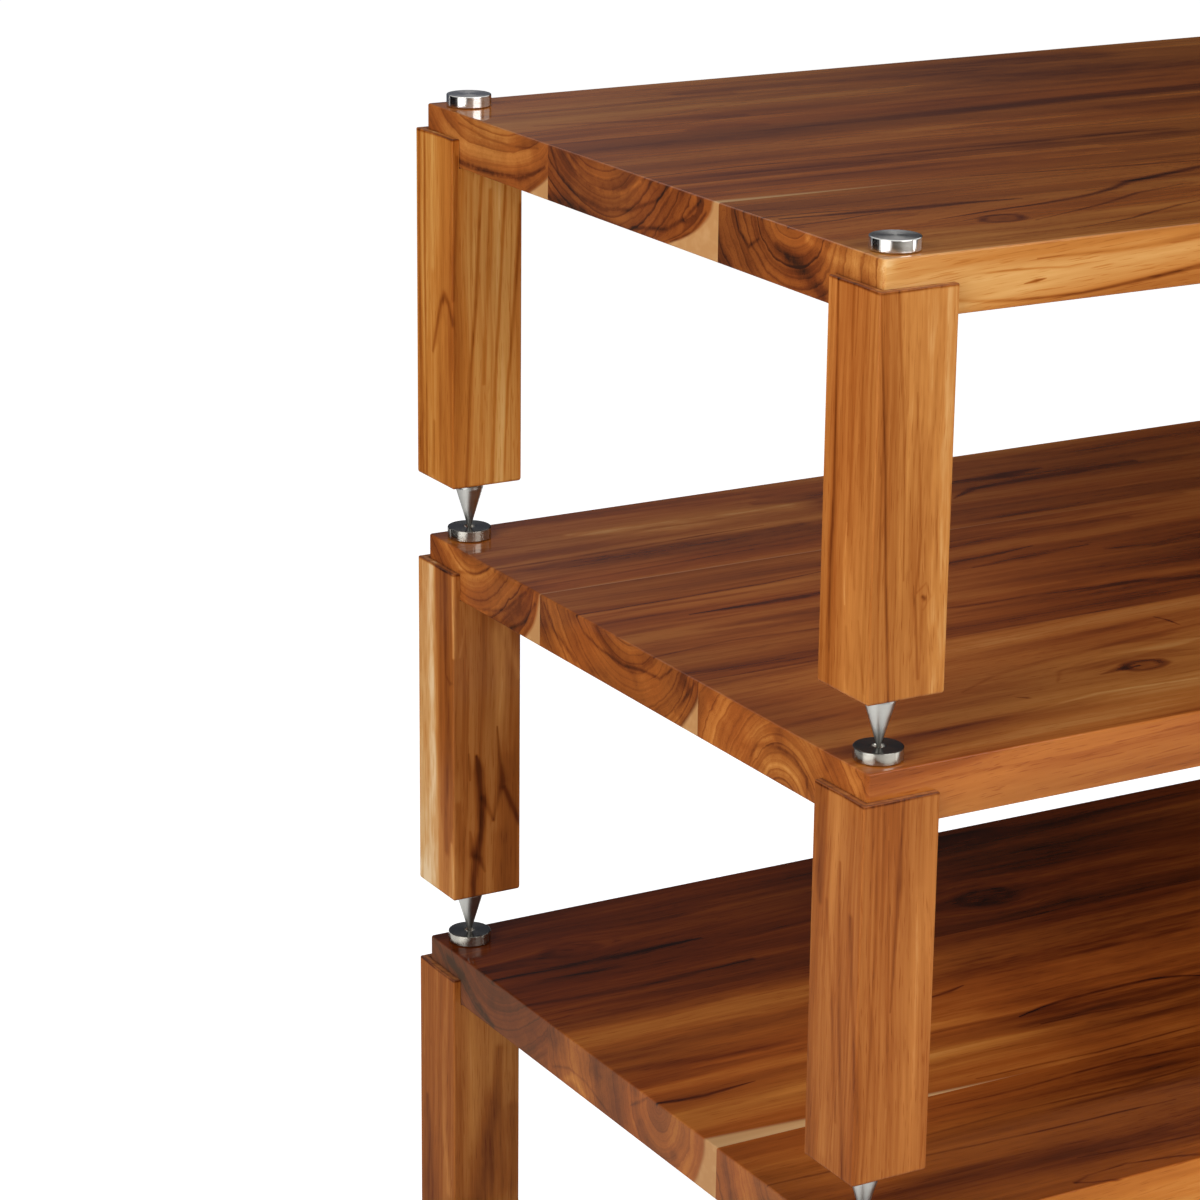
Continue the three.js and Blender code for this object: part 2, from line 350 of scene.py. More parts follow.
def heartwood(finish, log, timber, end_grain, ring_gap, rings, contrast, fine, streaks):
    """How light the heartwood is, 0 to 1, and its depth: tone + zones + clouds - rings + fibres -
    streaks. Rings stand out on an end, where they are cut square, and fade on a face."""
    radius, sap_edge = growth(finish, log, timber)
    along, _, _ = parts(finish, log)
    years = radius / ring_gap + noise(finish, log, (1.0, 22.0, 22.0), (9.0, 4.0, 2.0), 1.0) * 0.8
    weight = finish.node("TexWhiteNoise", {"W": years.math("FLOOR")}, "Value", noise_dimensions="1D")
    season = years.math("FRACT")
    line = step(finish, season, 0.60, 0.94) * step(finish, season, 1.0, 0.94)
    line = line * (weight ** 2.5 * 0.85 + 0.15)
    shell = joined(finish, along, radius)
    zone = noise(finish, shell, (1.2, 75.0, 1.0), (4.0, 6.0, 0.0), 2.0)
    late = noise(finish, shell, (2.0, 420.0, 1.0), (1.0, 2.0, 0.0), 2.0, 0.6) * end_grain
    broad = noise(finish, log, (2.2, 36.0, 36.0), (1.7, 8.1, 3.3), 3.0, 0.6)
    cloud = noise(finish, log, (2.6, 12.0, 12.0), (0.7, 3.1, 2.3), 1.0)
    fibre = noise(finish, log, (7.0, 330.0, 330.0), (2.2, 0.7, 6.1), 3.0, 0.7)
    pigment = step(finish, noise(finish, log, (5.0, 52.0, 52.0), (3.7, 9.2, 5.5), 2.0, 0.55), 0.07, 0.26)
    drawn = 1.0 - end_grain * 0.5
    _, _, tone = parts(finish, timber)
    change = zone * (end_grain * 0.3 + 0.40) + broad * drawn * 0.64 + cloud * 0.40 + late * 0.26
    ringed = (change - line * (end_grain * 0.7 + 0.4) * rings) * contrast
    return tone + ringed + fibre * drawn * fine - pigment * drawn * streaks, sap_edge


def pores(finish, log):
    """Open pores: 0.3 mm across and a centimetre or two long."""
    return step(finish, noise(finish, log, (60.0, 1500.0, 1500.0), (0.4, 0.9, 7.7), 1.0), 0.09, 0.22)


def hardwood(name, figure=None, hue=(1, 1, 1), ring_gap=0.0050, rings=0.24, contrast=1.0, fine=0.20,
             streaks=0.2, end_tone=0.0, end_dust_and_sheen=0.0, gloss=0.8, gloss_blur=0.05):
    """figure, where given, is a function of the finish that bends the log's grain round the knots
    of one piece and says how dark its own marks are. The hue multiplies all heartwood colours, and a
    grey blend on the ends stands partly for sanding dust and partly for painted sheen."""
    finish = Finish(bpy.data.materials.new(name))
    log, timber = read(finish, "log"), read(finish, "timber")
    end_grain = read(finish, "end_grain", "Fac")
    bend, darkness = figure(finish) if figure else (None, 0.0)
    log = vector(finish, "ADD", log, bend) if bend else log
    waves = [noise(finish, log, (8.0, 11.0, 11.0), (k * 5.1, 6.6, 2.9), 1.0) for k in (0, 1)]
    log = vector(finish, "ADD", log, joined(finish, 0.0, waves[0] * 0.008, waves[1] * 0.005))
    light_share, sap_edge = heartwood(finish, log, timber, end_grain, ring_gap, rings, contrast, fine,
                                      streaks)
    open_pores = pores(finish, log)
    share = light_share - darkness - open_pores * 0.10 - end_grain * end_tone
    ramp = finish.node("ValToRGB", {"Fac": share})
    stops = ramp.socket.node.color_ramp.elements
    for place, shade in heart_shades[1:-1]:
        stops.new(place).color = shade
    stops[0].color, stops[-1].color = heart_shades[0][1], heart_shades[-1][1]
    rust = noise(finish, log, (1.6, 16.0, 16.0), (6.0, 2.0, 8.0), 1.0)
    red, gold = np.array([1.0, 0.94, 0.86]) * hue, np.array([0.98, 1.03, 1.03]) * hue
    warm = blend(finish, step(finish, rust, -0.16, 0.16), (*red.tolist(), 1.0), (*gold.tolist(), 1.0))
    heart_shade = blend(finish, 1.0, ramp, warm, "MULTIPLY")
    mottle = noise(finish, log, (4.0, 120.0, 120.0), (5.0, 5.0, 5.0), 2.0) + 0.5
    sap_shade = blend(finish, mottle - end_grain * 0.5, light(182, 132, 82), light(218, 178, 126))
    shade = blend(finish, step(finish, sap_edge, 0.0012, -0.0030), heart_shade, sap_shade)
    # painted sheen and dust: the ends are blended towards a pale grey, which stands partly for sanding
    # dust and partly for the sheen on end grain
    shade = blend(finish, end_grain * end_dust_and_sheen, shade, light(176, 150, 128))
    bump = finish.node("Bump", {"Strength": 0.2, "Distance": 0.0003, "Height": open_pores * -0.5})
    coat = read(finish, "lacquer", "Fac") * gloss
    sockets = {"Base Color": shade, "Roughness": 0.5, "Normal": bump, "Specular IOR Level": 0.0,
               "Coat Weight": coat, "Coat Roughness": gloss_blur, "Coat IOR": 1.5}
    finish.output(finish.node("BsdfPrincipled", sockets))
    return finish.owner


# %% [markdown]
# ## Knots and veins
# Some marks are one of a kind: a knot near the front of a panel, a dark vein that runs past it.
# A knot is where a branch grew out: an oval with a dark rim, and the grain flows round it, so the
# log's place is pushed towards the knot's middle there. A vein is drawn like a pen line through
# points with a width at each. Its darkness falls off with the distance from the line, as a bell.

# %% Marks of one piece
def vein(finish, place, points, strength):
    """points: x, y, z and half width, in mm. On the part from p to q the nearest place has the share
    t = (place - p) . (q - p) / |q - p|^2, held between 0 and 1, and the half width is taken there.
    Darkness = strength * exp(-(smallest of distance / half width)^2)."""
    nearest = None
    for start, end in zip(np.array(points) / 1000, np.array(points[1:]) / 1000):
        reach = end[:3] - start[:3]
        gap = vector(finish, "SUBTRACT", place, start[:3].tolist())
        along = vector(finish, "DOT_PRODUCT", gap, (reach / (reach @ reach)).tolist())
        share = along.math("MAXIMUM", 0.0).math("MINIMUM", 1.0)
        aside = vector(finish, "DISTANCE", gap, vector(finish, "SCALE", reach.tolist(), share))
        ratio = aside / share.math("MULTIPLY_ADD", float(end[3] - start[3]), float(start[3]))
        nearest = nearest.math("MINIMUM", ratio) if nearest else ratio
    return (nearest * nearest * -1.0).math("EXPONENT") * strength


def marks(veins, knots=(), grain=0):
    """veins: a strength, then the points. knots: x, y, z, half length, half width, half depth, rim.
    grain: 0 for a piece whose grain runs along X, 2 for one whose grain stands up."""
    def along_grain(along, across):
        return np.roll((along, across, across), grain).tolist()

    def figure(finish):
        still = finish.node("TexCoord", None, "Object")
        sway = noise(finish, still, along_grain(8.0, 22.0), (2.0, 3.0, 4.0), 2.0)
        blot = noise(finish, still, along_grain(36.0, 190.0), (7.0, 1.0, 4.0), 2.0, 0.6) * 1.6 + 0.95
        aside = 0.006 if grain == 0 else 0.003
        place = vector(finish, "ADD", still, joined(finish, sway * 0.002, sway * aside, sway * 0.002))
        total, bend = 0.0, None
        for kx, ky, kz, long, wide, deep, rim in knots:
            halves = (1000 / long, 1000 / wide, 1000 / deep)
            oval = vector(finish, "MULTIPLY_ADD", place, halves, (-kx / long, -ky / wide, -kz / deep))
            size = vector(finish, "LENGTH", oval) + blot * 0.45 - 0.42
            _, off, _ = parts(finish, oval)
            pull = (size * size * -0.30).math("EXPONENT") * off * (-0.0008 * wide)
            push = joined(finish, 0.0, pull)
            bend = vector(finish, "ADD", bend, push) if bend else push
            edge = step(finish, size, 0.45, 0.85) * step(finish, size, 1.35, 0.9)
            total = (edge + step(finish, size, 1.0, 0.1) * 0.6) * blot * rim + total
        inked = 0.0
        for strength, *points in veins:
            inked = vein(finish, place, points, strength) + inked
        return bend, inked * blot + total
    return figure


# %% [markdown]
# ## The panel
# Each panel is glued up from three wide boards. Its faces are flat, its four edges have an arris
# of a millimetre, and four holes let the discs' studs through to the legs. The flat faces are a
# grid of lines, and a square around each hole is left out of it. There a circle grows into that
# square, and its rays end exactly on the grid's lines, so that the skin closes.

# %% Panel surface
panel_size = (640.0, 460.0, 30.0)
panel_corner, panel_arris, hole_radius, hole_square = 2.0, 1.0, 4.3, 8.0
axis_x, axis_y = 302.7, 212.7
axis_of = {corner: np.array([sx * axis_x, sy * axis_y]) for corner, (sx, sy) in corners.items()}
every_leg = [(f"{tier}_{corner}", axis) for tier in tiers for corner, axis in axis_of.items()]


def around(angle):
    """The direction at an angle, as x and y."""
    return np.stack([np.cos(angle), np.sin(angle)], -1)


def full_turn(columns):
    """Angles once round, the last one back at the first."""
    return np.append(np.arange(columns) * 2 * np.pi / columns, 0.0)


def at_height(points, z):
    """Points in the plane, lifted to z."""
    return np.concatenate([points, np.broadcast_to(z, (*points.shape[:-1], 1))], -1)


ray = around(full_turn(32))


def grid_lines(half, centre, extra):
    """Lines along one side: its ends, the rays' places round the holes, and an even filling."""
    rays = hole_square * np.tan(np.radians(np.arange(-45, 46, 11.25)))
    filling = np.linspace(-centre + 20, centre - 20, 24)
    lines = np.concatenate([[-half, half], centre + rays, rays - centre, filling, extra])
    return np.unique(np.round(lines, 6))


def flat_with_holes(xs, ys, z):
    """The grid of lines in strips, each strip a grid of its own, with the holes' squares left out,
    and in each square a surface from the circle outwards: circle + (square - circle) * share."""
    grids = []
    in_x = [np.abs(np.abs((a + b) / 2) - axis_x) < hole_square for a, b in zip(xs, xs[1:])]
    in_y = [np.abs(np.abs((a + b) / 2) - axis_y) < hole_square for a, b in zip(ys, ys[1:])]
    for j, hit in enumerate(in_y):
        for i in range(len(xs) - 1):
            if not (hit and in_x[i]):
                grids.append(at_height(np.stack(np.meshgrid(xs[i:i + 2], ys[j:j + 2]), -1), z))
    circle, square = ray * hole_radius, ray / np.abs(ray).max(1, keepdims=True) * hole_square
    patch = circle + (square - circle) * np.linspace(0, 1, 4)[:, None, None]
    return grids + [at_height(patch + axis, z) for axis in axis_of.values()]


def arris_profile(arris, steps=5):
    """A quarter circle as pairs of inset and drop, from the flat face to the side."""
    angle = np.linspace(0, np.pi / 2, steps + 1)
    return np.stack([arris * (1 - np.sin(angle)), arris * (1 - np.cos(angle))], -1)


def panel_rim(xs, ys, low):
    """The profile of the edge carried round the rectangle of the last grid lines. At a corner the
    path stands still while its outward direction turns, so the profile fans out."""
    fan = np.linspace(0, np.pi / 2, 7)
    sides = [(xs, -1.0, 0), (ys, 1.0, 1), (xs[::-1], 1.0, 0), (ys[::-1], -1.0, 1)]
    path, aim = [], []
    for k, (line, sign, axis) in enumerate(sides):
        edge = sign * (ys[-1] if axis == 0 else xs[-1])
        start = (k - 1) * np.pi / 2
        side = np.stack([line, np.full_like(line, edge)][::1 - 2 * axis], -1)
        path += [side, np.repeat(side[-1:], len(fan), 0)]
        aim += [np.tile(around(start), (len(line), 1)), around(start + fan)]
    path, aim = np.concatenate(path + [path[0][:1]]), np.concatenate(aim + [aim[0][:1]])
    inset, drop = arris_profile(panel_arris).T
    wall = np.linspace(panel_size[2] - panel_arris, panel_arris, 9)[1:-1]
    eased_out = panel_corner - inset
    out = np.concatenate([[0.0], eased_out, np.full(len(wall), panel_corner), eased_out[::-1], [0.0]])
    z = np.concatenate([[panel_size[2]], panel_size[2] - drop, wall, drop[::-1], [0.0]]) + low
    return [at_height(path + aim * out[:, None, None], z[:, None, None])]


# %% [markdown]
# ## Boards
# The end of a panel shows how its boards lay in their logs: the pith of most lies above the panel,
# so their rings hang like bowls, and the corner nearest the bark has a wedge of sapwood. For each
# board the table gives its front edge, the pith's place behind the origin and above the face, the
# sapwood's width at the face, its growth with depth and its taper along the board, the bark's
# radius, the tone and how it fades to the back, two leans and a shift, and how much darker the board
# looks on its end and on the panel's long edge.

# %% Boards of each panel
boards = {
    "top": [
        (-230, -150, 10, -200, 0, 0, 150, 0.68, 0.21, 0, -0.06, 0.3, 0.12, 0.02),
        (-84, 33, 40, 5.5, 0.05, 0.0085, 104, 0.475, 0, 0, 0.01, 1.9, 0.145, 0),
        (89.5, 150, 88, -12, 0.038, 0, 124, 0.58, 0, 0.01, -0.02, 3.1, 0.1, 0),
    ],
    "middle": [
        (-230, -155, -41, -200, 0, 0, 150, 0.62, 0.04, -0.01, -0.04, 4.4, 0.04, 0),
        (-73, 12, 38, -0.5, 0.0195, 0.004, 96, 0.52, 0, 0.01, 0.01, 5.2, 0.11, 0),
        (96, 175, 45, 1, 0.018, 0.004, 96, 0.515, 0, 0, -0.03, 6.7, 0.1, 0),
    ],
    "bottom": [
        (-230, -165, 22, -200, 0, 0, 150, 0.46, 0, 0.01, -0.03, 7.6, 0.02, -0.24),
        (-100, -40, 2, 13, 0.012, 0.005, 44, 0.505, 0, 0, 0.01, 8.9, 0.08, 0),
        (84, 150, 50, -200, 0, 0, 150, 0.27, 0, 0, 0.02, 9.3, 0.02, 0),
    ],
}


def panel_timber(piece, rows, top):
    """A corner belongs to the board of its face. Its log place is counted from that board's pith,
    which leans a little to the side and upwards, and its depth in the heartwood from a border that
    bends as a parabola of the depth and draws in along the board by the taper."""
    table = np.array(rows)
    corner_vertex, corner_face, normals, _, centres = face_arrays(piece.data)
    board = np.clip(np.searchsorted(table[:, 0], centres[:, 1] * 1000) - 1, 0, len(rows) - 1)
    (low, pith_y, pith_z, sap, wider, taper, bark, tone, fade, lean_y, lean_z, shift, on_end,
     on_edge) = table[board[corner_face]].T
    end, edge, _ = (normals[corner_face] ** 2).T
    x, y, z = (vertex_places(piece.data)[corner_vertex] * 1000).T
    from_left, depth = x + panel_size[0] / 2, top - z
    log = np.stack([x / 1000 + shift, (y - pith_y + lean_y * from_left) / 1000,
                    (-depth - pith_z + lean_z * from_left) / 1000], -1)
    sap_width = (sap + wider * depth ** 2) * np.where(sap > -50, 1 - taper * from_left, 1)
    heart = (y - low - sap_width) / 1000
    tone = tone - fade * (y - low) / 100 - on_end * end - on_edge * edge
    remember_log(piece, log, np.stack([heart, bark / 1000, tone], -1), (1.0, 0.0, 0.0), (0.05, 0.3, 1.0))


# %% [markdown]
# ## The veins of each panel
# The veins that catch the eye are written down one by one in a short notation: how dark one is, a
# colon, and its points, which commas part. A point is two places on the surface and a half width,
# and a pale vein has a minus. A bar parts a panel's face, its front edge and its left end, and
# there the second number is the depth under the face. Two marks in this table are painted light,
# not veins: a short dark blotch on the top panel's face is a painted reflection, and a pale band on
# the middle panel's face is a painted sheen.

# %% Veins of each panel
def drawn(text, *places):
    """The veins of a piece, surface by surface. places says for each surface how the two numbers
    of a point become x, y and z in the room."""
    veins = []
    for surface, place in zip(text.split("|"), places):
        for vein in filter(str.strip, surface.split(";")):
            dark, points = vein.split(":")
            numbers = [map(float, point.split()) for point in points.split(",")]
            veins.append([float(dark), *((*place(u, v), width) for u, v, width in numbers)])
    return veins


panel_veins_and_painted_light = {
    # On the top panel's face the short dark blotch from x -58 to -18 at y 140 (.14) is a painted
    # reflection
    "top": """
.36: -314 -131 .8, -280 -134 2.6, -240 -137 4, -215 -137 3.2, -180 -141 .6;
.24: -322 -124 1, -290 -125 1.3, -258 -131 .6;
.4: -252 -166 .4, -212 -160 1.2, -180 -156 1.5, -155 -152 1.8, -138 -147 2, -122 -140 2.3, -108 -131 2.6,
  -80 -124 3, -50 -116 3.4, 60 -95 2;
.26: -205 -188 .5, -155 -171 1.1, -120 -156 1.3, -85 -148 .5;
.26: -200 -212 .4, -160 -205 1, -120 -190 1.4, -80 -178 .6;
.28: -322 -147 .8, -290 -145 1.1, -256 -139 .4;
.2: -322 -106 .5, -290 -113 1, -200 -108 1, -150 -105 .4;
.2: -322 -12 1, -262 -8 1.2, -200 -12 1.8, -100 -17 2.4, 10 -20 2.4;
.16: -322 -25 1, -262 -25 1.6, -200 -27 1.4, -110 -24 .6;
.12: -330 -18 5, -180 -21 8, 0 -24 9;
-.11: -330 -38 3, -180 -39 4, -60 -41 3;
-.11: -330 -60 4, -180 -57 5, -60 -60 4;
.1: -330 -49 2, -180 -48 2.5, -60 -50 2;
.26: -170 -83 .5, -98 -94 1.2, -38 -101 1;
.15: -330 60 5, -240 65 8, -120 72 9, 0 79 10, 130 86 10;
-.06: -330 30 12, -160 38 14, 0 44 12;
.15: -180 192 5, -80 190 8, 20 192 12, 120 200 14;
.1: -300 214 3, -100 210 5, 0 206 8, 110 214 6;
.13: -330 178 3, -240 176 4, -150 181 3;
.14: -58 139 3, -38 141 6, -18 141 3;
.1: -230 92 4, -208 96 7, -186 90 4;
.12: -300 140 2, -240 128 3, -200 121 6, -180 119 3;
.13: 10 145 35, 80 140 42, 220 140 45;
.07: -30 172 24, 40 160 45, 220 150 50;
-.06: -310 36 20, -150 36 20, 70 32 20;
.08: -95 -35 14, -40 -35 18, 30 -32 18
|
-.05: -322 9 9, -240 13 10, -100 12 9;
.2: -310 12.2 .4, -280 12 .6, -250 11.8 .5, -227 12.6 .5, -215 13.6 .6, -195 12.4 .5, -176 10 .6,
  -158 7.5 .7, -80 4 .5;
.2: -234 7.8 .3, -214 7.8 .6, -190 8 .9, -170 7.2 1.1, -140 5 1.3, -90 3 .8;
.28: -280 23.5 .8, -262 25.5 .9, -245 26.8 .7, -207 27 .7, -189 25.6 .9, -164 23.5 1.1, -139 20.6 1.3,
  -60 15 .9;
.5: -241 19.1 .2, -234 18.3 .8, -228 17.6 .2
|
-.12: 206 12 8, 150 13 9, 112 10 7;
.16: 192 5 .6, 160 8 .8, 130 8 .8, 100 4 .6;
.1: 206 24 6, 150 25 7, 112 22 3;
.24: 200 26 2, 150 26 1.6, 120 24 1.4, 92 13 1;
.18: 86 1 .8, 78 13 1.2, 60 21 1.4, 30 24 1.3, 0 19 1.2, -24 9 1, -36 0 .8;
-.15: 68 2 1.4, 54 11 1.8, 32 15 1.8, 8 12 1.6, -8 3 1.2;
.22: 0 28 1, -34 22 1.2, -52 14 1.2, -66 2 1;
.2: -38 28 .8, -58 20 1, -72 7 .8;
.2: 88 28 3, 50 29 3, 10 31 3;
.24: -99 1 .8, -103 10 1, -112 16 1.2, -122 11 .8;
.22: -138 11 2, -156 16 5, -180 26 4;
-.16: -165 3 3, -195 8 6, -232 4 6
""",
    # On the middle panel's face the pale mark from x -250 to -90 near y 185 (-.17) is painted sheen
    "middle": """
.3: -322 149 1.2, -250 150 1.6, -200 151 1.3, -140 154 .4;
.3: -8 150 .8, 4 157 2.4, 15 163 3.2, 50 166 3.8, 90 166 4.4, 140 170 3;
.28: 14 181 1, 50 180 6, 78 182 1.5;
.12: -330 141 5, -220 143 6, -120 146 5;
.08: -300 137 8, -60 137 10;
-.1: -310 176 9, -100 174 9;
-.05: -320 213 10, -60 212 12;
.08: -60 -15 30, 70 -20 40;
.07: -320 -36 8, -210 -36 10;
.12: -120 88 3, -40 92 6, 60 90 6, 120 96 4;
.3: -322 54 1, -270 55 1.3, -200 56 1, -160 60 .4;
.36: -266 26 .5, -225 25 3, -195 26 3.8, -140 30 1;
.26: -110 37 1, -85 40 3, -60 42 2.4, -25 47 .6;
.2: -80 27 1, -40 31 4.5, 5 34 1;
.24: -160 -27 .6, -110 -32 2.6, -60 -33 3.2, -10 -38 3, 24 -46 4, 52 -50 5.5, 90 -44 3;
.16: 10 22 2, 40 16 5, 70 19 6, 110 10 4;
.14: -140 70 2, -80 66 4, 0 74 5, 60 70 3;
.14: -120 196 3, -90 190 5, -40 201 3;
.2: -322 -28 .8, -270 -22 1, -220 -25 1, -170 -31 .4;
.14: -322 110 .8, -250 112 1.2, -170 116 .6;
-.17: -250 190 3, -190 180 12, -90 184 6;
.13: -110 206 4, -60 199 6, -10 205 4;
-.08: -160 -10 2, -110 -17 8, -50 -18 3;
.08: -160 -66 8, -90 -68 12, -20 -62 8;
.07: -310 160 6, -240 161 7, -180 162 5;
-.12: -200 -191 .5, -150 -183 1.8, -90 -188 .8;
.34: -131 -160 .5, -116 -158 2.6, -104 -158 1;
.34: -191 -168 .3, -186 -172 1.2, -184 -174 .3;
.3: -46 -95 .5, -43 -103 1.2, -42 -112 .4;
.09: -210 -150 .8, -180 -136 1.8, -140 -127 2, -90 -122 2, -30 -136 1;
.08: -158 -160 .8, -146 -146 1.6, -120 -138 1.8, -85 -140 1.6, -60 -150 .6;
-.06: -310 186 14, -200 182 14, -110 178 12;
.08: -265 138 14, -180 135 20, -100 140 16
|
|
.2: 192 13 1, 172 10 1.3, 155 1 1;
.16: 162 28 1, 136 20 1.3, 112 3 1;
.2: 130 29 1, 112 20 1.3, 102 7 1;
.22: 55 1 .8, 46 8 1, 28 12 1, 4 14 1, -16 11 1, -34 10 1, -46 1 .8;
.2: 91 4 1, 80 16 1.6, 55 26 1.3;
.2: -50 23 1, -63 10 1.3, -70 2 1;
.16: -122 29 1, -128 17 1.5, -145 11 1.5, -164 11 1.5, -178 19 1.3, -178 29 1;
-.08: -138 22 6, -165 22 6
""",
    "bottom": """
-.1: -330 -20 12, -200 -22 14, -100 -18 8;
.08: -330 30 10, -200 36 14, -60 40 14, 80 30 14;
.4: -324 -37 .8, -305 -40 2, -292 -41 2.2, -258 -38 .4;
.32: -80 -36 .6, -62 -31 1.6, -46 -28 2, -20 -27 1.6, 20 -28 1.6, 38 -32 1.4, 52 -38 .6;
.2: -75 -50 .6, -40 -50 1.1, -10 -54 .5;
.2: -150 -94 .6, -70 -97 1.1, 40 -92 .8;
.28: -118 10 .4, -95 13 1.7, -82 17 .5;
.18: -322 110 2, -250 105 3.2, -170 108 2;
.18: -322 151 1.5, -230 148 4, -180 150 1;
.2: -322 -150 .7, -280 -152 1.2, -230 -160 1, -150 -165 1, -70 -166 .6;
.2: -220 -112 .5, -150 -116 1.1, -60 -113 1.1, -10 -118 .6;
.16: -230 -140 .5, -160 -137 1, -80 -141 1, -20 -137 .6;
.22: -178 -222 1.2, -167 -218 .9, -142 -217 .8, -115 -222 1, -95 -229 1.5;
.22: -178 -222 1.2, -170 -226 .9, -150 -231 .6;
.18: -160 -200 .4, -120 -204 .9, -70 -207 .9;
.14: 60 -60 110, 60 150 110;
.08: -310 72 14, -180 70 18, -120 74 12;
.1: -58 -115 34, -52 -30 40, -50 40 34;
.11: -160 -190 26, -40 -190 44, 150 -190 70
|
|
.26: 206 7 3, 188 11 4, 172 22 4, 150 28 2;
.2: -10 13 .5, -19 7 1.2, -28 1 .5;
-.14: 68 29 2, 55 22 2.5, 40 28 2;
.14: 78 25 .8, 60 18 .9, 40 19 .9, 15 27 .8;
.07: 76 8 8, 55 8 10, 35 8 8
""",
}
# x, y, then the half sizes along, across and in depth, then how dark
panel_knots = {"top": [(-217, -177, 12, 8, 9, 0.26)], "middle": [(-101, -158, 14, 7, 9, 0.34)],
               "bottom": [(8, 122, 20, 13, 9, 0.10), (-258, 170, 18, 11, 9, 0.08)]}

# %% [markdown]
# ## The panels take their places
# A vein lies a little under its surface. The finish of each panel differs in a few numbers only,
# and the bottom one has less lacquer, more grey on its ends, partly dust and partly painted sheen,
# and a colder tint.

# %% Panels
panel_finish = {
    "top": {"streaks": 0.10, "end_dust_and_sheen": 0.025},
    "middle": {"streaks": 0.20, "hue": (1.0, 0.97, 0.92), "contrast": 1.1, "rings": 0.18,
               "end_dust_and_sheen": 0.03},
    "bottom": {"streaks": 0.20, "hue": (1.02, 0.95, 0.76), "end_dust_and_sheen": 0.14, "rings": 0.12,
               "gloss": 0.45},
}
left_end, front_edge = -319.8, -229.8
for tier in tiers:
    node = f"{tier}_panel"
    low, high = (corner * 1000 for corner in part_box(node))
    glue_lines = [row[0] for row in boards[tier][1:]]
    half_x, half_y = panel_size[0] / 2 - panel_corner, panel_size[1] / 2 - panel_corner
    xs, ys = grid_lines(half_x, axis_x, []), grid_lines(half_y, axis_y, glue_lines)
    grids = flat_with_holes(xs, ys, low.z) + flat_with_holes(xs, ys, high.z) + panel_rim(xs, ys, low.z)
    for axis in axis_of.values():
        grids.append(np.stack([at_height(ray * hole_radius + axis, z) for z in (low.z, high.z)]))
    panel = new_piece(f"{tier}_panel_boards", grids)
    panel_timber(panel, boards[tier], high.z)
    top = round(high.z, 1)
    veins = drawn(panel_veins_and_painted_light[tier], lambda x, y: (x, y, top - 0.3),
                  lambda x, deep: (x, front_edge, top - deep), lambda y, deep: (left_end, y, top - deep))
    knots = [(x, y, top, *sizes) for x, y, *sizes in panel_knots[tier]]
    finish = hardwood(f"{tier}_panel_wood", marks(veins, knots), **panel_finish[tier])
    stand_for(panel, node, finish)
    print(panel.name, len(panel.data.polygons), "faces")

# %% [markdown]
# ## The leg
# A leg is a square post. Its top is cut down to a rebate that takes the panel's corner, and what is
# left stands up as two thin lips on the outside. Seen from above, every level of the post is one
# closed outline, so the post is a stack of outlines: drawn in at the foot for the arris, then
# straight, and above the rebate's floor an L. The L's inner side is the outer side held back to
# the lip's thickness, so both have the same number of points and the top closes between them.

# %% Leg surface
leg_half, leg_corner, leg_length, rebate_floor = 22.0, 1.0, 200.0, 183.6
lip_inner = -17.6
foot_arris, lip_arris, corner_points = 2.0, 0.6, 7
stud_wall, stud_point = 37.0, 39.0
flange_seat, sleeve_wall, sleeve_point = (7.8, 1.7), (6.5, 23.5), 25.0


def post_outline(inset=0.0):
    """A square with round corners, anticlockwise from the end of the left lip to where the front
    lip ends and back. Drawn in by an inset, its sides move in and its corners get sharper:
    corner = sign * (half - max(round, inset)) + direction * max(round - inset, 0)."""
    arc = np.radians(np.linspace(0, 90, corner_points))
    points = [np.array([[lip_inner, leg_half - inset]])]
    for k, start in enumerate(np.radians((90, 180, 270, 0))):
        aim, signs = around(start + arc), np.sign(around(start + np.pi / 4))
        points.append(signs * (leg_half - max(leg_corner, inset)) + aim * max(leg_corner - inset, 0.0))
        if k == 2:
            points.append(np.array([[leg_half - inset, lip_inner]]))
    return np.concatenate(points)


def stacked(outlines, levels):
    """A skin through one closed outline at each level."""
    return np.stack([at_height(np.concatenate([line, line[:1]]), z) for line, z in zip(outlines, levels)])


def bore(loop, z, radius, deep, levels):
    """A flat ring from the loop to a circle around the axis, each point moving straight towards
    the axis, then the wall of the bore and its closed end."""
    loop = np.concatenate([loop, loop[:1]])
    aim = loop / np.linalg.norm(loop, axis=1, keepdims=True)
    rows = [at_height(loop + (aim * radius - loop) * share, z) for share in np.linspace(0, 1, 4)]
    return np.stack(rows + [at_height(aim * r, height) for r, height in [(radius, deep), *levels]])


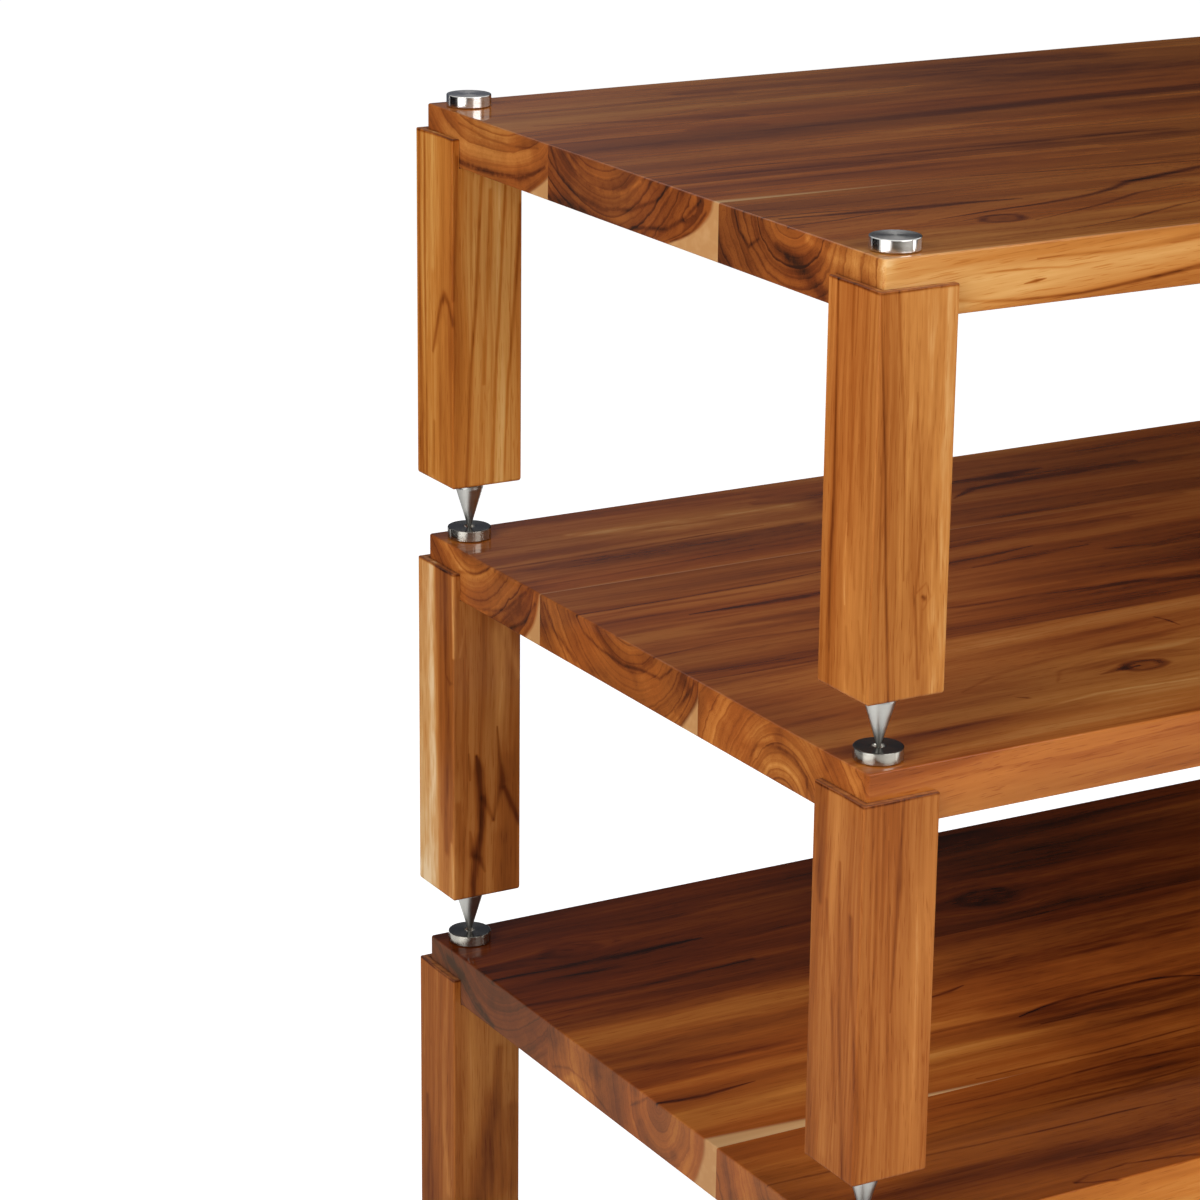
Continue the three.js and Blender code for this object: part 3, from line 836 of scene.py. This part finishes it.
def leg_grids():
    """The post, its lips with their tops, and two bores: the stud's from the rebate's floor and the
    insert's from the foot, each closed by a flat cone."""
    foot, lip = arris_profile(foot_arris, 6), arris_profile(lip_arris, 4)[::-1]
    levels = [0.0, 60.0, 120.0, rebate_floor]
    outlines = [post_outline(inset) for inset in foot[:, 0]] + [post_outline()] * 3
    body = stacked(outlines, [*foot[:, 1], *levels[1:]])
    last = 1 + corner_points * 3
    lip_lines, edges = [], []
    for inset in [0.0, *lip[:, 0]]:
        outer = post_outline(inset)[:last + 1]
        inner = np.maximum(post_outline(-inset)[:last + 1], lip_inner)
        outer[0, 0] = outer[-1, 1] = lip_inner - inset
        inner = np.where(inner <= lip_inner, lip_inner - inset, np.minimum(inner, leg_half - inset))
        edges.append((outer, inner))
        lip_lines.append(np.concatenate([outer, inner[::-1]]))
    lips = stacked(lip_lines, [rebate_floor, *(leg_length - lip[:, 1])])
    outer, inner = edges[-1]
    cap = np.stack([at_height(edge, leg_length) for edge in (outer, (outer + inner) / 2, inner)])
    whole = post_outline()
    floor_loop = np.concatenate([whole[last:], whole[:1], edges[0][1][1:-1]])
    stud_bore = bore(floor_loop, rebate_floor, hole_radius, rebate_floor - stud_wall,
                     [(0.0, rebate_floor - stud_point)])
    insert_bore = bore(post_outline(foot_arris), 0.0, *flange_seat,
                       [(sleeve_wall[0], flange_seat[1]), sleeve_wall, (0.0, sleeve_point)])
    return [body, lips, cap, stud_bore, insert_bore]


# %% [markdown]
# ## Twelve legs from twelve places
# A maker cuts legs from whatever stock is at hand, so each has its own grain: its own distance and
# direction from the pith, its own lean and tone, and one keeps a stripe of sapwood. A quarter
# turn brings the lips to each corner, while the table's angle is the direction in the room.

# %% Legs
# the angle, the distance from the pith, the tone, the place of the sapwood and the lean
leg_table = {
    "top_front_left": (45, 120, 0.59, 60, 0.010), "middle_front_left": (48, 110, 0.54, 60, 0.015),
    "bottom_front_left": (35, 90, 0.58, 60, 0.01), "top_back_left": (200, 85, 0.72, 60, 0.010),
    "middle_back_left": (140, 90, 0.55, 60, 0.005), "bottom_back_left": (60, 85, 0.57, 60, 0.02),
}
chance = np.random.default_rng(12)
leg_shape = leg_grids()
leg_finish = {"ring_gap": 0.0052, "rings": 0.20, "contrast": 0.8, "fine": 0.34, "streaks": 0.08,
              "end_tone": 0.22, "end_dust_and_sheen": 0.10, "gloss": 0.10, "gloss_blur": 0.16}
leg_hue = {"top_front_left": (1.0, 1.04, 1.18), "middle_front_left": (0.95, 1.01, 1.24),
           "top_back_left": (0.99, 0.94, 0.78), "middle_back_left": (1.0, 1.12, 1.42),
           "bottom_back_left": (1.0, 1.14, 1.42)}
leg_wood = hardwood("leg_wood", hue=(1.0, 0.98, 0.92), **leg_finish)


def turned_grid(grid, quarter_turns, shift):
    c, s = around(quarter_turns * np.pi / 2)
    return grid @ np.array([[c, s, 0], [-s, c, 0], [0, 0, 1]]) + shift


def leg_timber(piece, shift, angle, distance, tone, sap, lean):
    """The post's section is set off from the pith by a distance at an angle, and leans away from
    it. The sapwood begins where the section reaches past a plane square to that direction."""
    corner_vertex, *_ = face_arrays(piece.data)
    x, y, z = (vertex_places(piece.data)[corner_vertex] * 1000 - shift).T
    a = np.radians(angle)
    out, aside = x * np.cos(a) + y * np.sin(a), y * np.cos(a) - x * np.sin(a)
    log = np.stack([z / 1000 + angle * 0.37, (out + distance + lean * z) / 1000, aside / 1000], -1)
    bark, tones = np.full_like(out, (distance + sap) / 1000), np.full_like(out, tone)
    timber = np.stack([(sap - out) / 1000, bark, tones], -1)
    remember_log(piece, log, timber, (0.0, 0.0, 1.0), (1.0, 1.0, 5.0))


# %% [markdown]
# ## The veins of the legs in view
# Five legs show their left and front faces in the photograph, so their veins are drawn as well, in
# the same notation. A point is written as the place across the face from its left edge, the height
# above the leg's foot, and the half width, and the bar parts the left face from the front one.

# %% Veins of the legs
leg_veins = {
    "top_front_left": """
.24: 9 205 .8, 9.5 150 1, 10 100 1.2, 9 60 1.4, 10 -5 1.2;
.1: 22 205 2, 23 120 2.5, 23 80 1;
.07: 30 125 .6, 28 105 1.6, 25 80 4, 30 55 1;
-.1: 22 85 .5, 20 65 1.2, 22 45 .6;
.08: 24 34 1, 26 15 3, 27 4 1;
.08: 34 40 .6, 37 22 1.6, 41 6 1
|
.24: .3 205 .5, 3.5 150 .7, 6 110 .8, 8 60 .8, 12 -5 .9;
.12: 10 200 .6, 14 150 .9, 17 100 .8, 18 60 .5;
.12: 22 150 .6, 25 110 .9, 27 80 .8, 25 50 .8, 28 10 .8;
.07: 4 205 3, 10 120 4, 14 0 4;
-.09: 12 205 16, 20 100 18, 24 -5 18;
-.17: 34 205 11, 37 120 10, 39 60 8, 41 -5 8;
.34: 29.2 50.5 .8, 30.3 49.5 1.2;
.08: 30 44 .6, 33.5 50 .8, 31 57 .6, 26 53 .6
""",
    "middle_front_left": """
.15: 25 165 1, 26 130 2, 27 90 1.8, 29.5 60 1.5, 33 20 1.4, 35 -5 1.2;
.15: 35.5 140 1.8, 38 110 1.8, 42 70 1.4, 45 35 1.2;
.09: 14 142 1.4, 18 110 1.5, 22 80 1.4, 27 30 1.4;
.12: 5 205 5, 6 165 7, 8 140 2;
.1: 0 90 1.5, 1.5 40 3, 5 -5 2.5;
-.06: 10 120 2, 10 60 5, 16 10 5
|
.11: 8.5 200 .6, 8.7 120 .9, 8 60 .8, 6 0 .6;
.09: 11.8 195 .5, 12.3 120 .8, 13.5 60 .8, 14 0 .6;
.08: 15 180 .5, 17 120 .8, 19 40 .7;
.2: 23 200 .8, 22 172 1.3, 21.7 158 2, 20 120 .8, 19 90 .5;
-.05: 34 150 4, 36 60 7, 38 0 5
""",
    "top_back_left": """
.26: 4 205 2, 4 120 2, 5 60 3.4, 6 0 5;
.2: 11 205 1.2, 10.5 130 1.5, 11.5 60 1.2, 12 0 1;
.24: 20 76 1, 22 82 1.8, 26 96 1.8, 29.5 106 2, 34 111 2.6, 39 107 1.8, 44 96 1.6;
.12: 21 35 1.4, 20 5 2;
-.08: 20 205 5, 22 150 5, 20 125 3
|
.14: 3 190 1, 2.5 150 1.1, 1 110 1;
.25: 18.7 180 1, 14.3 100 1.1, 11.8 70 1.1, 8.5 -5 1;
.14: 24 170 1.2, 21.8 110 1.6, 20 60 1;
.24: 34 180 1, 29.3 105 1.1, 27.7 70 1, 25.5 -5 1;
.24: 43.5 160 1.6, 39.3 110 1.2, 35.5 60 1, 33 -5 1
""",
    "middle_back_left": """
-.27: 17 205 5, 18 130 6, 20 70 6, 18 30 9, 14 -5 12;
-.2: 5 205 8, 6 120 9, 6 0 9;
.06: 12 60 1, 13 20 1.4, 10 -5 1;
.14: 34 205 4, 36 150 4, 38 120 4, 38 80 5, 33 58 3, 35 30 3;
.12: 37 136 1, 40 133 1.4, 43 134 1;
-.24: 43.5 205 2, 44 150 1;
-.18: 41 35 1.5, 42 20 4, 42 -5 4
|
-.08: 4 195 1.5, 8 170 1.5, 4 150 .8;
-.1: 28 160 6, 32 125 9, 36 90 4;
.38: 15.2 88 1, 17 78 3.4, 19 60 3.4, 19 42 2.4, 16 26 3, 13.5 10 2.2, 13 -5 1.8;
.3: 28.8 104 .5, 30.6 82 1.4, 32 70 3.4;
.26: 31 66 2.2, 28.5 56 1.6, 26.6 47 1;
.22: 20 62 2, 23.5 54 1.4, 26.6 47 1;
.26: 34 66 1.6, 38 56 1.8, 44 42 1.6;
.24: 11.5 42 .8, 13 28 2.2, 18 24 2, 21 16 .8;
.18: 10 90 .6, 10.5 82 1.2, 11 74 .6;
.1: 3 60 2, 6 30 4, 4 0 4;
.08: 32 35 7, 34 5 8;
-.1: 32 175 2, 38 150 3, 43 132 2
""",
    "bottom_back_left": """
-.12: 36 205 3, 32 150 3.5, 30 100 3, 36 60 3.5;
.19: 9 112 2, 11 85 6, 12 60 9, 12 35 11
|
-.08: 6 190 5, 12 130 8, 10 60 6;
.19: 31 150 3, 27 110 5, 21 80 8, 15 45 9;
.12: 39 110 4, 34 60 8
""",
}


def leg_figure(shift, text):
    """The marks of one leg. A pale band along the lips' tops is a painted sheen, and a dark line
    runs along their outer edges.
    """
    cx, cy, foot = shift
    lips = []
    # the first entry is painted sheen, a pale band along the lips' tops; the second is a dark line at
    # their outer edges
    for strength, off, drop, width in ((-0.30, 2.3, 0.0, 1.3), (0.34, 0.0, 0.7, 0.6)):
        inner, head = off - leg_half, foot + leg_length - drop
        run = ((inner, leg_half), (inner, inner), (leg_half, inner))
        lips.append([strength, *((cx + x, cy + y, head, width) for x, y in run)])
    veins = drawn(text, lambda u, h: (cx - leg_half, cy + leg_half - u, foot + h),
                  lambda u, h: (cx - leg_half + u, cy - leg_half, foot + h))
    return marks(veins + lips, (), 2)


# %% [markdown]
# ## The posts take their places
# All twelve share one shape. A leg with veins of its own gets a finish of its own.

# %% Posts
for k, (label, axis) in enumerate(every_leg):
    node = f"{label}_leg"
    shift = np.array([*axis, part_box(node)[0].z * 1000])
    leg = new_piece(f"{label}_post", [turned_grid(grid, k % 4, shift) for grid in leg_shape])
    angle, distance, tone = chance.uniform(0, 360), chance.uniform(60, 110), chance.uniform(0.54, 0.66)
    guess = (angle, distance, tone, 60.0, chance.uniform(0.0, 0.03))
    leg_timber(leg, shift, *leg_table.get(label, guess))
    finish = leg_wood
    if label in leg_veins:
        figure = leg_figure(shift, leg_veins[label])
        finish = hardwood(f"{label}_wood", figure, leg_hue[label], **leg_finish)
    stand_for(leg, node, finish)
print("legs:", len(leg.data.polygons), "faces each")

# %% [markdown]
# ## Turned steel
# Discs, spikes and inserts come off a lathe. The tool leaves circles so fine that no eye parts
# them, but they draw every reflection out across themselves: bright and dark bands stand up the
# side of a disc, and a fan of light lies on its top. In the shader that is anisotropy, turned by a
# quarter so that it lies across the circles. Faint rings in the relief and the gloss come on top.

# %% Steel finish
def turned_steel(name, shade, roughness, drawn, marks_depth, uneven=1.0, face=None):
    """face, where given, is the height in m above which the metal is painted dark, for the dark
    reflection on a receptor's top, and that dark shade.
    """
    finish = Finish(bpy.data.materials.new(name))
    own = read(finish, "own")
    x, y, z = parts(finish, own)
    from_axis = (x * x + y * y) ** 0.5
    circle = joined(finish, from_axis, z)
    grooves = noise(finish, circle, (5200.0, 5200.0, 0.0), detail=1.0)
    coarse = noise(finish, circle, (900.0, 900.0, 0.0), (3.0, 1.0, 0.0), detail=1.0)
    smudge = noise(finish, own, (140.0, 140.0, 140.0), (4.0, 2.0, 9.0), detail=2.0)
    relief = grooves + coarse * 0.5
    bump = finish.node("Bump", {"Strength": marks_depth, "Distance": 0.00002, "Height": relief})
    tint = blend(finish, smudge + coarse * 0.4 + 0.5, light(*(shade - 10)), light(*(shade + 8)))
    if face:
        height, dark = face
        tint = blend(finish, step(finish, z, height - 0.0002, height), tint, light(*dark))
    worn = (smudge * 0.10 + coarse * 0.06) * uneven + roughness
    sockets = {"Base Color": tint, "Metallic": 1.0, "Roughness": worn, "Normal": bump,
               "Anisotropic": drawn, "Anisotropic Rotation": 0.25}
    finish.output(finish.node("BsdfPrincipled", sockets))
    return finish.owner


# painted reflection: the receptors are a darker copy of the polished steel, and their tops are painted
# dark grey above 6 mm, leaving the dimple bright; both stand for the dimmer, darker reflections they show
painted_dark_top = (0.0062, (112, 110, 106))
polished_steel = turned_steel("polished_steel", np.array([222, 220, 216]), 0.21, 0.8, 0.15, 0.5)
darkened_receptor_steel = turned_steel("darkened_receptor_steel", np.array([178, 174, 164]), 0.24, 0.8, 0.1, 0.3, painted_dark_top)
satin_steel = turned_steel("satin_steel", np.array([170, 169, 164]), 0.32, 0.6, 0.25)
yellow_plate = turned_steel("yellow_plate", np.array([216, 178, 104]), 0.32, 0.3, 0.3)

# %% [markdown]
# ## Profiles
# A turned piece is its profile carried once round the axis: a point at radius r and height z
# becomes r cos, r sin, z. Straight runs need only their ends, and every edge gets a small arris,
# because a lathe hand always breaks an edge. Each point also keeps its place from its own axis, so
# that one steel serves all the discs.

# %% Lathe
def carried_round(profile, columns=96):
    """The profile's radii and heights, in mm, once round the axis."""
    radius, height = np.array(profile, float).T[:, :, None, None]
    return at_height(around(full_turn(columns)) * radius, height)


def steel_piece(node, grids, axis, low, finish):
    """The grids around the origin become a piece at its axis and height."""
    shift = np.array([*axis, low])
    piece = new_piece(f"{node}_turned", [grid + shift for grid in grids])
    store(piece.data, "own", vertex_places(piece.data) - shift / 1000, "POINT")
    stand_for(piece, node, finish)
    return len(piece.data.polygons)


def eased(corner, size, before, after, steps=4):
    """An edge of a profile as a quarter circle of the given size, from one run's direction to the
    next one's. The two directions point away from the corner."""
    corner, before, after = (np.array(v, float) for v in (corner, before, after))
    angle = np.linspace(0, np.pi / 2, steps + 1)[:, None]
    return (corner + size * (before * (1 - np.sin(angle)) + after * (1 - np.cos(angle)))).tolist()


# %% [markdown]
# ## Discs
# The disc is 25 mm across. On the lower panels it carries a dimple for the spike above, a part of
# a ball; on the top panel it is a plain cap. Its stud goes down through the panel and is a wood
# screw in the leg's end grain. Four loose discs lie on the floor and have no stud.

# %% Disc profiles
disc_radius, disc_height, disc_arris = 12.5, 6.4, 0.5
dimple_radius, dimple_depth = 3.5, 2.2
ball_radius = (dimple_radius ** 2 + dimple_depth ** 2) / (2 * dimple_depth)


def dimple_profile(steps=10):
    """An arc of the ball from the mouth to the bottom, with the mouth's edge just broken."""
    mouth = np.arcsin(dimple_radius / ball_radius)
    angle = np.linspace(mouth, 0, steps + 1)
    centre = disc_height - dimple_depth + ball_radius
    arc = np.column_stack([ball_radius * np.sin(angle), centre - ball_radius * np.cos(angle)])
    return [[dimple_radius + 0.15, disc_height]] + arc.tolist()


def stud_profile():
    """Root and crest in turn: the wood screw's thread, drawn as the rings that it shows in section."""
    end, plain, pitch, crest, root = -64.6, -31.0, 2.5, 4.0, 3.1
    turns = np.arange(plain - 1.0, end + 6.0, -pitch)
    heights = np.column_stack([turns, turns - pitch * 0.5]).reshape(-1)
    thread = np.column_stack([np.tile([crest, root], len(turns)), heights])
    point = [[0.0, end], [2.0, end], [3.6, end + 4.0]]
    return point + thread[::-1].tolist() + [[crest, plain], [crest, 0.0]]


def disc_profile(stud, dimple):
    under = stud_profile() if stud else [[0.0, 0.0]]
    low_edge = eased((disc_radius, 0.0), disc_arris, (-1, 0), (0, 1))
    high_edge = eased((disc_radius, disc_height), disc_arris, (0, -1), (-1, 0))
    top = dimple_profile() if dimple else [[6.0, disc_height], [0.0, disc_height]]
    return under + low_edge + high_edge + [[disc_radius - 1.2, disc_height]] + top


plain_disc = ("cap", carried_round(disc_profile(True, False)), polished_steel)
dimpled_disc = ("receptor", carried_round(disc_profile(True, True)), darkened_receptor_steel)
loose_disc = carried_round(disc_profile(False, True))
for corner, axis in axis_of.items():
    for tier in tiers:
        kind, grid, steel = plain_disc if tier == "top" else dimpled_disc
        node = f"{tier}_{corner}_{kind}"
        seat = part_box(node)[1].z * 1000 - disc_height
        steel_piece(node, [grid], axis, seat, steel)
    faces = steel_piece(f"floor_disc_{corner}", [loose_disc], axis, 0.0, darkened_receptor_steel)
print("disc:", faces, "faces")

# %% [markdown]
# ## Spikes
# The spike's tip is a tiny ball, and the cone leaves it at a tangent, so that no sharp ring presses
# into the dimple. Above the cone sits a thin collar, and above that a machine thread. A thread is a
# wave wound round a cylinder: its radius depends on the height less the share of a turn, times the
# pitch. So one grid makes the whole screw, and the wave fades out where the shank begins and ends.

# %% Spike
tip_radius, cone_height, collar_radius, collar_height = 0.6, 25.2, 8.0, 1.8
shank_radius, thread_depth, thread_pitch, shank_top = 4.0, 0.65, 1.25, 47.3


def cone_profile():
    above = cone_height - tip_radius
    flank = np.arctan2(collar_radius, above) - np.arcsin(tip_radius / np.hypot(collar_radius, above))
    angle = np.linspace(-np.pi / 2, -flank, 9)
    tip = np.column_stack([tip_radius * np.cos(angle), tip_radius * (1 + np.sin(angle))])
    tip[0] = (0.0, 0.0)
    cone = np.linspace(tip[-1], (collar_radius, cone_height), 12)[1:-1]
    return tip.tolist() + cone.tolist()


def thread_grid(bottom, top, columns):
    """radius = crest - depth * |2 * frac(height / pitch - angle / turn) - 1|, held in by the
    chamfer at the top and by the run out at the bottom."""
    share = np.arange(columns + 1) / columns
    height = np.arange(bottom, top, thread_pitch / 8)
    height = np.append(height, top)
    wave = np.abs(2 * np.mod(height[:, None] / thread_pitch - share, 1.0) - 1)
    wave[:, -1] = wave[:, 0]
    free = np.clip((height - bottom) / thread_pitch, 0, 1)[:, None]
    radius = shank_radius - thread_depth * (1 - (1 - wave) * free)
    radius = np.minimum(radius, (shank_radius - 0.8 + (top - height))[:, None])
    return at_height(around(full_turn(columns)) * radius[..., None], height[:, None, None])


spike_columns = 64
collar_top = cone_height + collar_height
thread = thread_grid(collar_top, shank_top, spike_columns)
collar = eased((collar_radius, cone_height), 0.15, (-0.3, -0.95), (0, 1), 2)
collar += eased((collar_radius, collar_top), 0.3, (0, -1), (-1, 0)) + [[5.0, collar_top]]
lower = np.concatenate([carried_round(cone_profile() + collar, spike_columns), thread[:1]])
closing = np.stack([thread[-1], thread[-1] * (0, 0, 1)])
spike_grids = [lower, thread, closing]

for label, axis in every_leg:
    node = f"{label}_spike"
    faces = steel_piece(node, spike_grids, axis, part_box(node)[0].z * 1000, satin_steel)
print("spike:", faces, "faces")

# %% [markdown]
# ## Inserts
# The spike needs a metal thread to turn in, because end grain would wear. So each leg's foot has a
# sleeve driven into it: a flange flush with the foot and three barbs that let it in and not out.
# Only its flange can be seen, from below, past the spike's collar.

# %% Insert
def insert_profile():
    first, pitch, root, crest, inside, flange, long = 4.3, 5.4, 5.4, 6.2, 4.3, 7.5, 20.5
    barb = ((root, 0.0), (crest, 0.2), (crest, 0.6))
    barbs = [[r, first + k * pitch + up] for k in range(3) for r, up in barb]
    rim = eased((flange, 0.0), 0.3, (-1, 0), (0, 1)) + eased((flange, 1.4), 0.3, (0, -1), (-1, 0))
    ends = [[root, long], [inside, long], [inside, 0.3]]
    return [[inside, 0.3], [inside + 0.3, 0.0]] + rim + [[root, 1.4]] + barbs + ends


insert = carried_round(insert_profile(), 48)
for label, axis in every_leg:
    node = f"{label}_insert"
    faces = steel_piece(node, [insert], axis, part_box(node)[0].z * 1000, yellow_plate)
print("insert:", faces, "faces")

# %% [markdown]
# ## Floor and background
# The photograph stands on plain white. The floor is a pale sheet that takes the rack's shadow. A
# little light of its own, for the camera and for reflections, brings it up to white where no shadow
# falls, and the world behind is white for the same rays.

# %% Floor
def soft_white(finish, dim, bright):
    """Bright for camera, glossy and transmission rays and dim for all others."""
    camera_ray, glossy_ray, glass_ray = (
        finish.node("LightPath", None, f"Is {kind} Ray") for kind in ("Camera", "Glossy", "Transmission"))
    seen = camera_ray.math("MAXIMUM", glossy_ray).math("MAXIMUM", glass_ray)
    return seen * (bright - dim) + dim


sheet = bpy.data.meshes.new("floor")
reach = 14.0
sheet.from_pydata([(sx * reach, sy * reach, 0) for sx, sy in corners.values()], [], [(0, 1, 2, 3)])
floor = put("floor", sheet)
paper = Finish(bpy.data.materials.new("floor_paper"))
fleck = noise(paper, paper.node("TexCoord", None, "Object"), (30.0, 30.0, 30.0), detail=2.0)
paper_shade = blend(paper, fleck + 0.5, light(198, 198, 198), light(203, 203, 203))
glow = paper.node("Emission", {"Color": (1, 1, 1, 1), "Strength": soft_white(paper, 0.0, 0.87)})
matt = paper.node("BsdfDiffuse", {"Color": paper_shade})
paper.output(paper.node("AddShader", {0: matt, 1: glow}))
sheet.materials.append(paper.owner)

# %% [markdown]
# ## The world
# The world gives an even, weak light from all sides, and looks white wherever a camera, a mirror or
# a glass looks at it. It takes its nodes through the same class as the finishes.

# %% World
world = bpy.data.worlds.new("studio")
bpy.context.scene.world = world
sky = Finish(world)
white = {"Color": (1, 1, 1, 1), "Strength": soft_white(sky, 0.24, 1.0)}
sky.output(sky.node("Background", white), "World")

# %% [markdown]
# ## Soft light from the front and the left
# The legs' left and front sides are bright and the panels' tops are dim, so the light comes in low,
# from large soft boxes at the left and the front right, and little comes from above. It reaches
# between the tiers, too. The steel tells where each box stood: the bands on a disc's side are the
# boxes, mirrored at twice the angle.

# %% Lamps
aim_point = Vector((0.0, 0.0, 0.42))


def softbox(name, azimuth, distance, height, width, tall, power):
    """An area lamp at an azimuth round the rack, counted from +X, that looks at its middle."""
    a = np.radians(azimuth)
    lamp = bpy.data.lights.new(name, "AREA")
    lamp.shape, lamp.size, lamp.size_y, lamp.energy = "RECTANGLE", width, tall, power
    box = put(name, lamp)
    box.location = (distance * np.cos(a), distance * np.sin(a), height)
    box.rotation_euler = (aim_point - box.location).to_track_quat("-Z", "Y").to_euler()


softbox("left_box", 198.0, 1.9, 1.05, 1.25, 1.7, 29.0)
softbox("front_box", 280.0, 2.4, 1.6, 2.0, 1.2, 42.0)
softbox("strip_box", 316.0, 2.4, 0.9, 0.35, 1.6, 9.0)
softbox("crown_box", 100.0, 0.5, 2.6, 1.6, 0.3, 3.5)

# %% [markdown]
# ## Dark cards for the steel
# Polished steel in an all white room looks like paper. A photographer stands dark cards around it,
# just outside the picture, and the steel gets its black bands from them. Two high cards hang in
# front of boxes, so that the lacquered tops don't mirror a box as a white hole when the rack is
# seen from behind or from the right. The cards here are seen by reflections alone: they throw no
# shadow and take no light from the wood.

# %% Cards
def card(name, first, last, distance, low, high, *levels):
    """A part of a cylinder wall round the rack from one azimuth to the other, with one brightness
    or several that blend along it, each with its azimuth. Two distances at one height make a card
    that lies flat."""
    columns = 24
    degrees = np.linspace(first, last, columns)
    a = np.radians(degrees)
    edges = zip(np.broadcast_to(distance, 2), (low, high))
    wall = np.stack([at_height(d * around(a), z) for d, z in edges])
    mesh = bpy.data.meshes.new(name)
    mesh.from_pydata(wall.reshape(-1, 3).tolist(), [], grid_quads(2, columns).tolist())
    board = put(name, mesh)
    for ray_kind in ("camera", "diffuse", "shadow", "transmission", "volume_scatter"):
        setattr(board, f"visible_{ray_kind}", False)
    shades = np.array([light(*level[-3:])[:3] for level in levels])
    stops = [level[0] if len(level) == 4 else first for level in levels]
    along = np.stack([np.interp(degrees, stops, shade) for shade in shades.T], -1)
    store(mesh, "level", np.tile(along, (2, 1)), "POINT")
    cloth = Finish(bpy.data.materials.new(name))
    cloth.output(cloth.node("Emission", {"Color": read(cloth, "level"), "Strength": 1.0}))
    mesh.materials.append(cloth.owner)


card("card_left_black", 130.0, 175.0, 1.75, 0.0, 1.5, (20, 20, 22))
card("card_camera_side", 220.0, 309.0, 1.75, 0.0, 1.0, (220, 62, 56, 49), (246, 98, 90, 79),
     (274, 136, 129, 118), (309, 168, 162, 154))
card("card_low_left", 177.0, 220.0, 1.74, 0.0, 0.16, (176, 174, 170))
card("card_right", 327.0, 382.0, 1.75, 0.0, 1.1, (92, 84, 78))
card("card_back", 22.0, 126.0, 1.9, 0.0, 1.7, (22, 40, 39, 40), (50, 42, 41, 42), (54, 52, 52, 54),
     (60, 70, 71, 75), (65, 78, 80, 85), (70, 86, 88, 95), (74, 100, 103, 112), (82, 100, 103, 112),
     (96, 84, 88, 97))
card("card_floor", 100.0, 176.0, (1.35, 1.75), 0.001, 0.001, (26, 24, 24))
card("card_over_left", 177.0, 220.0, 1.76, 0.6, 2.4, (110, 106, 100))
card("card_over_strip", 309.0, 327.0, 1.76, 0.6, 2.4, (110, 106, 100))

# %% [markdown]
# ## Colours
# The picture keeps plain colours, with no film look.

# %% Colours
bpy.context.scene.view_settings.view_transform = "Standard"
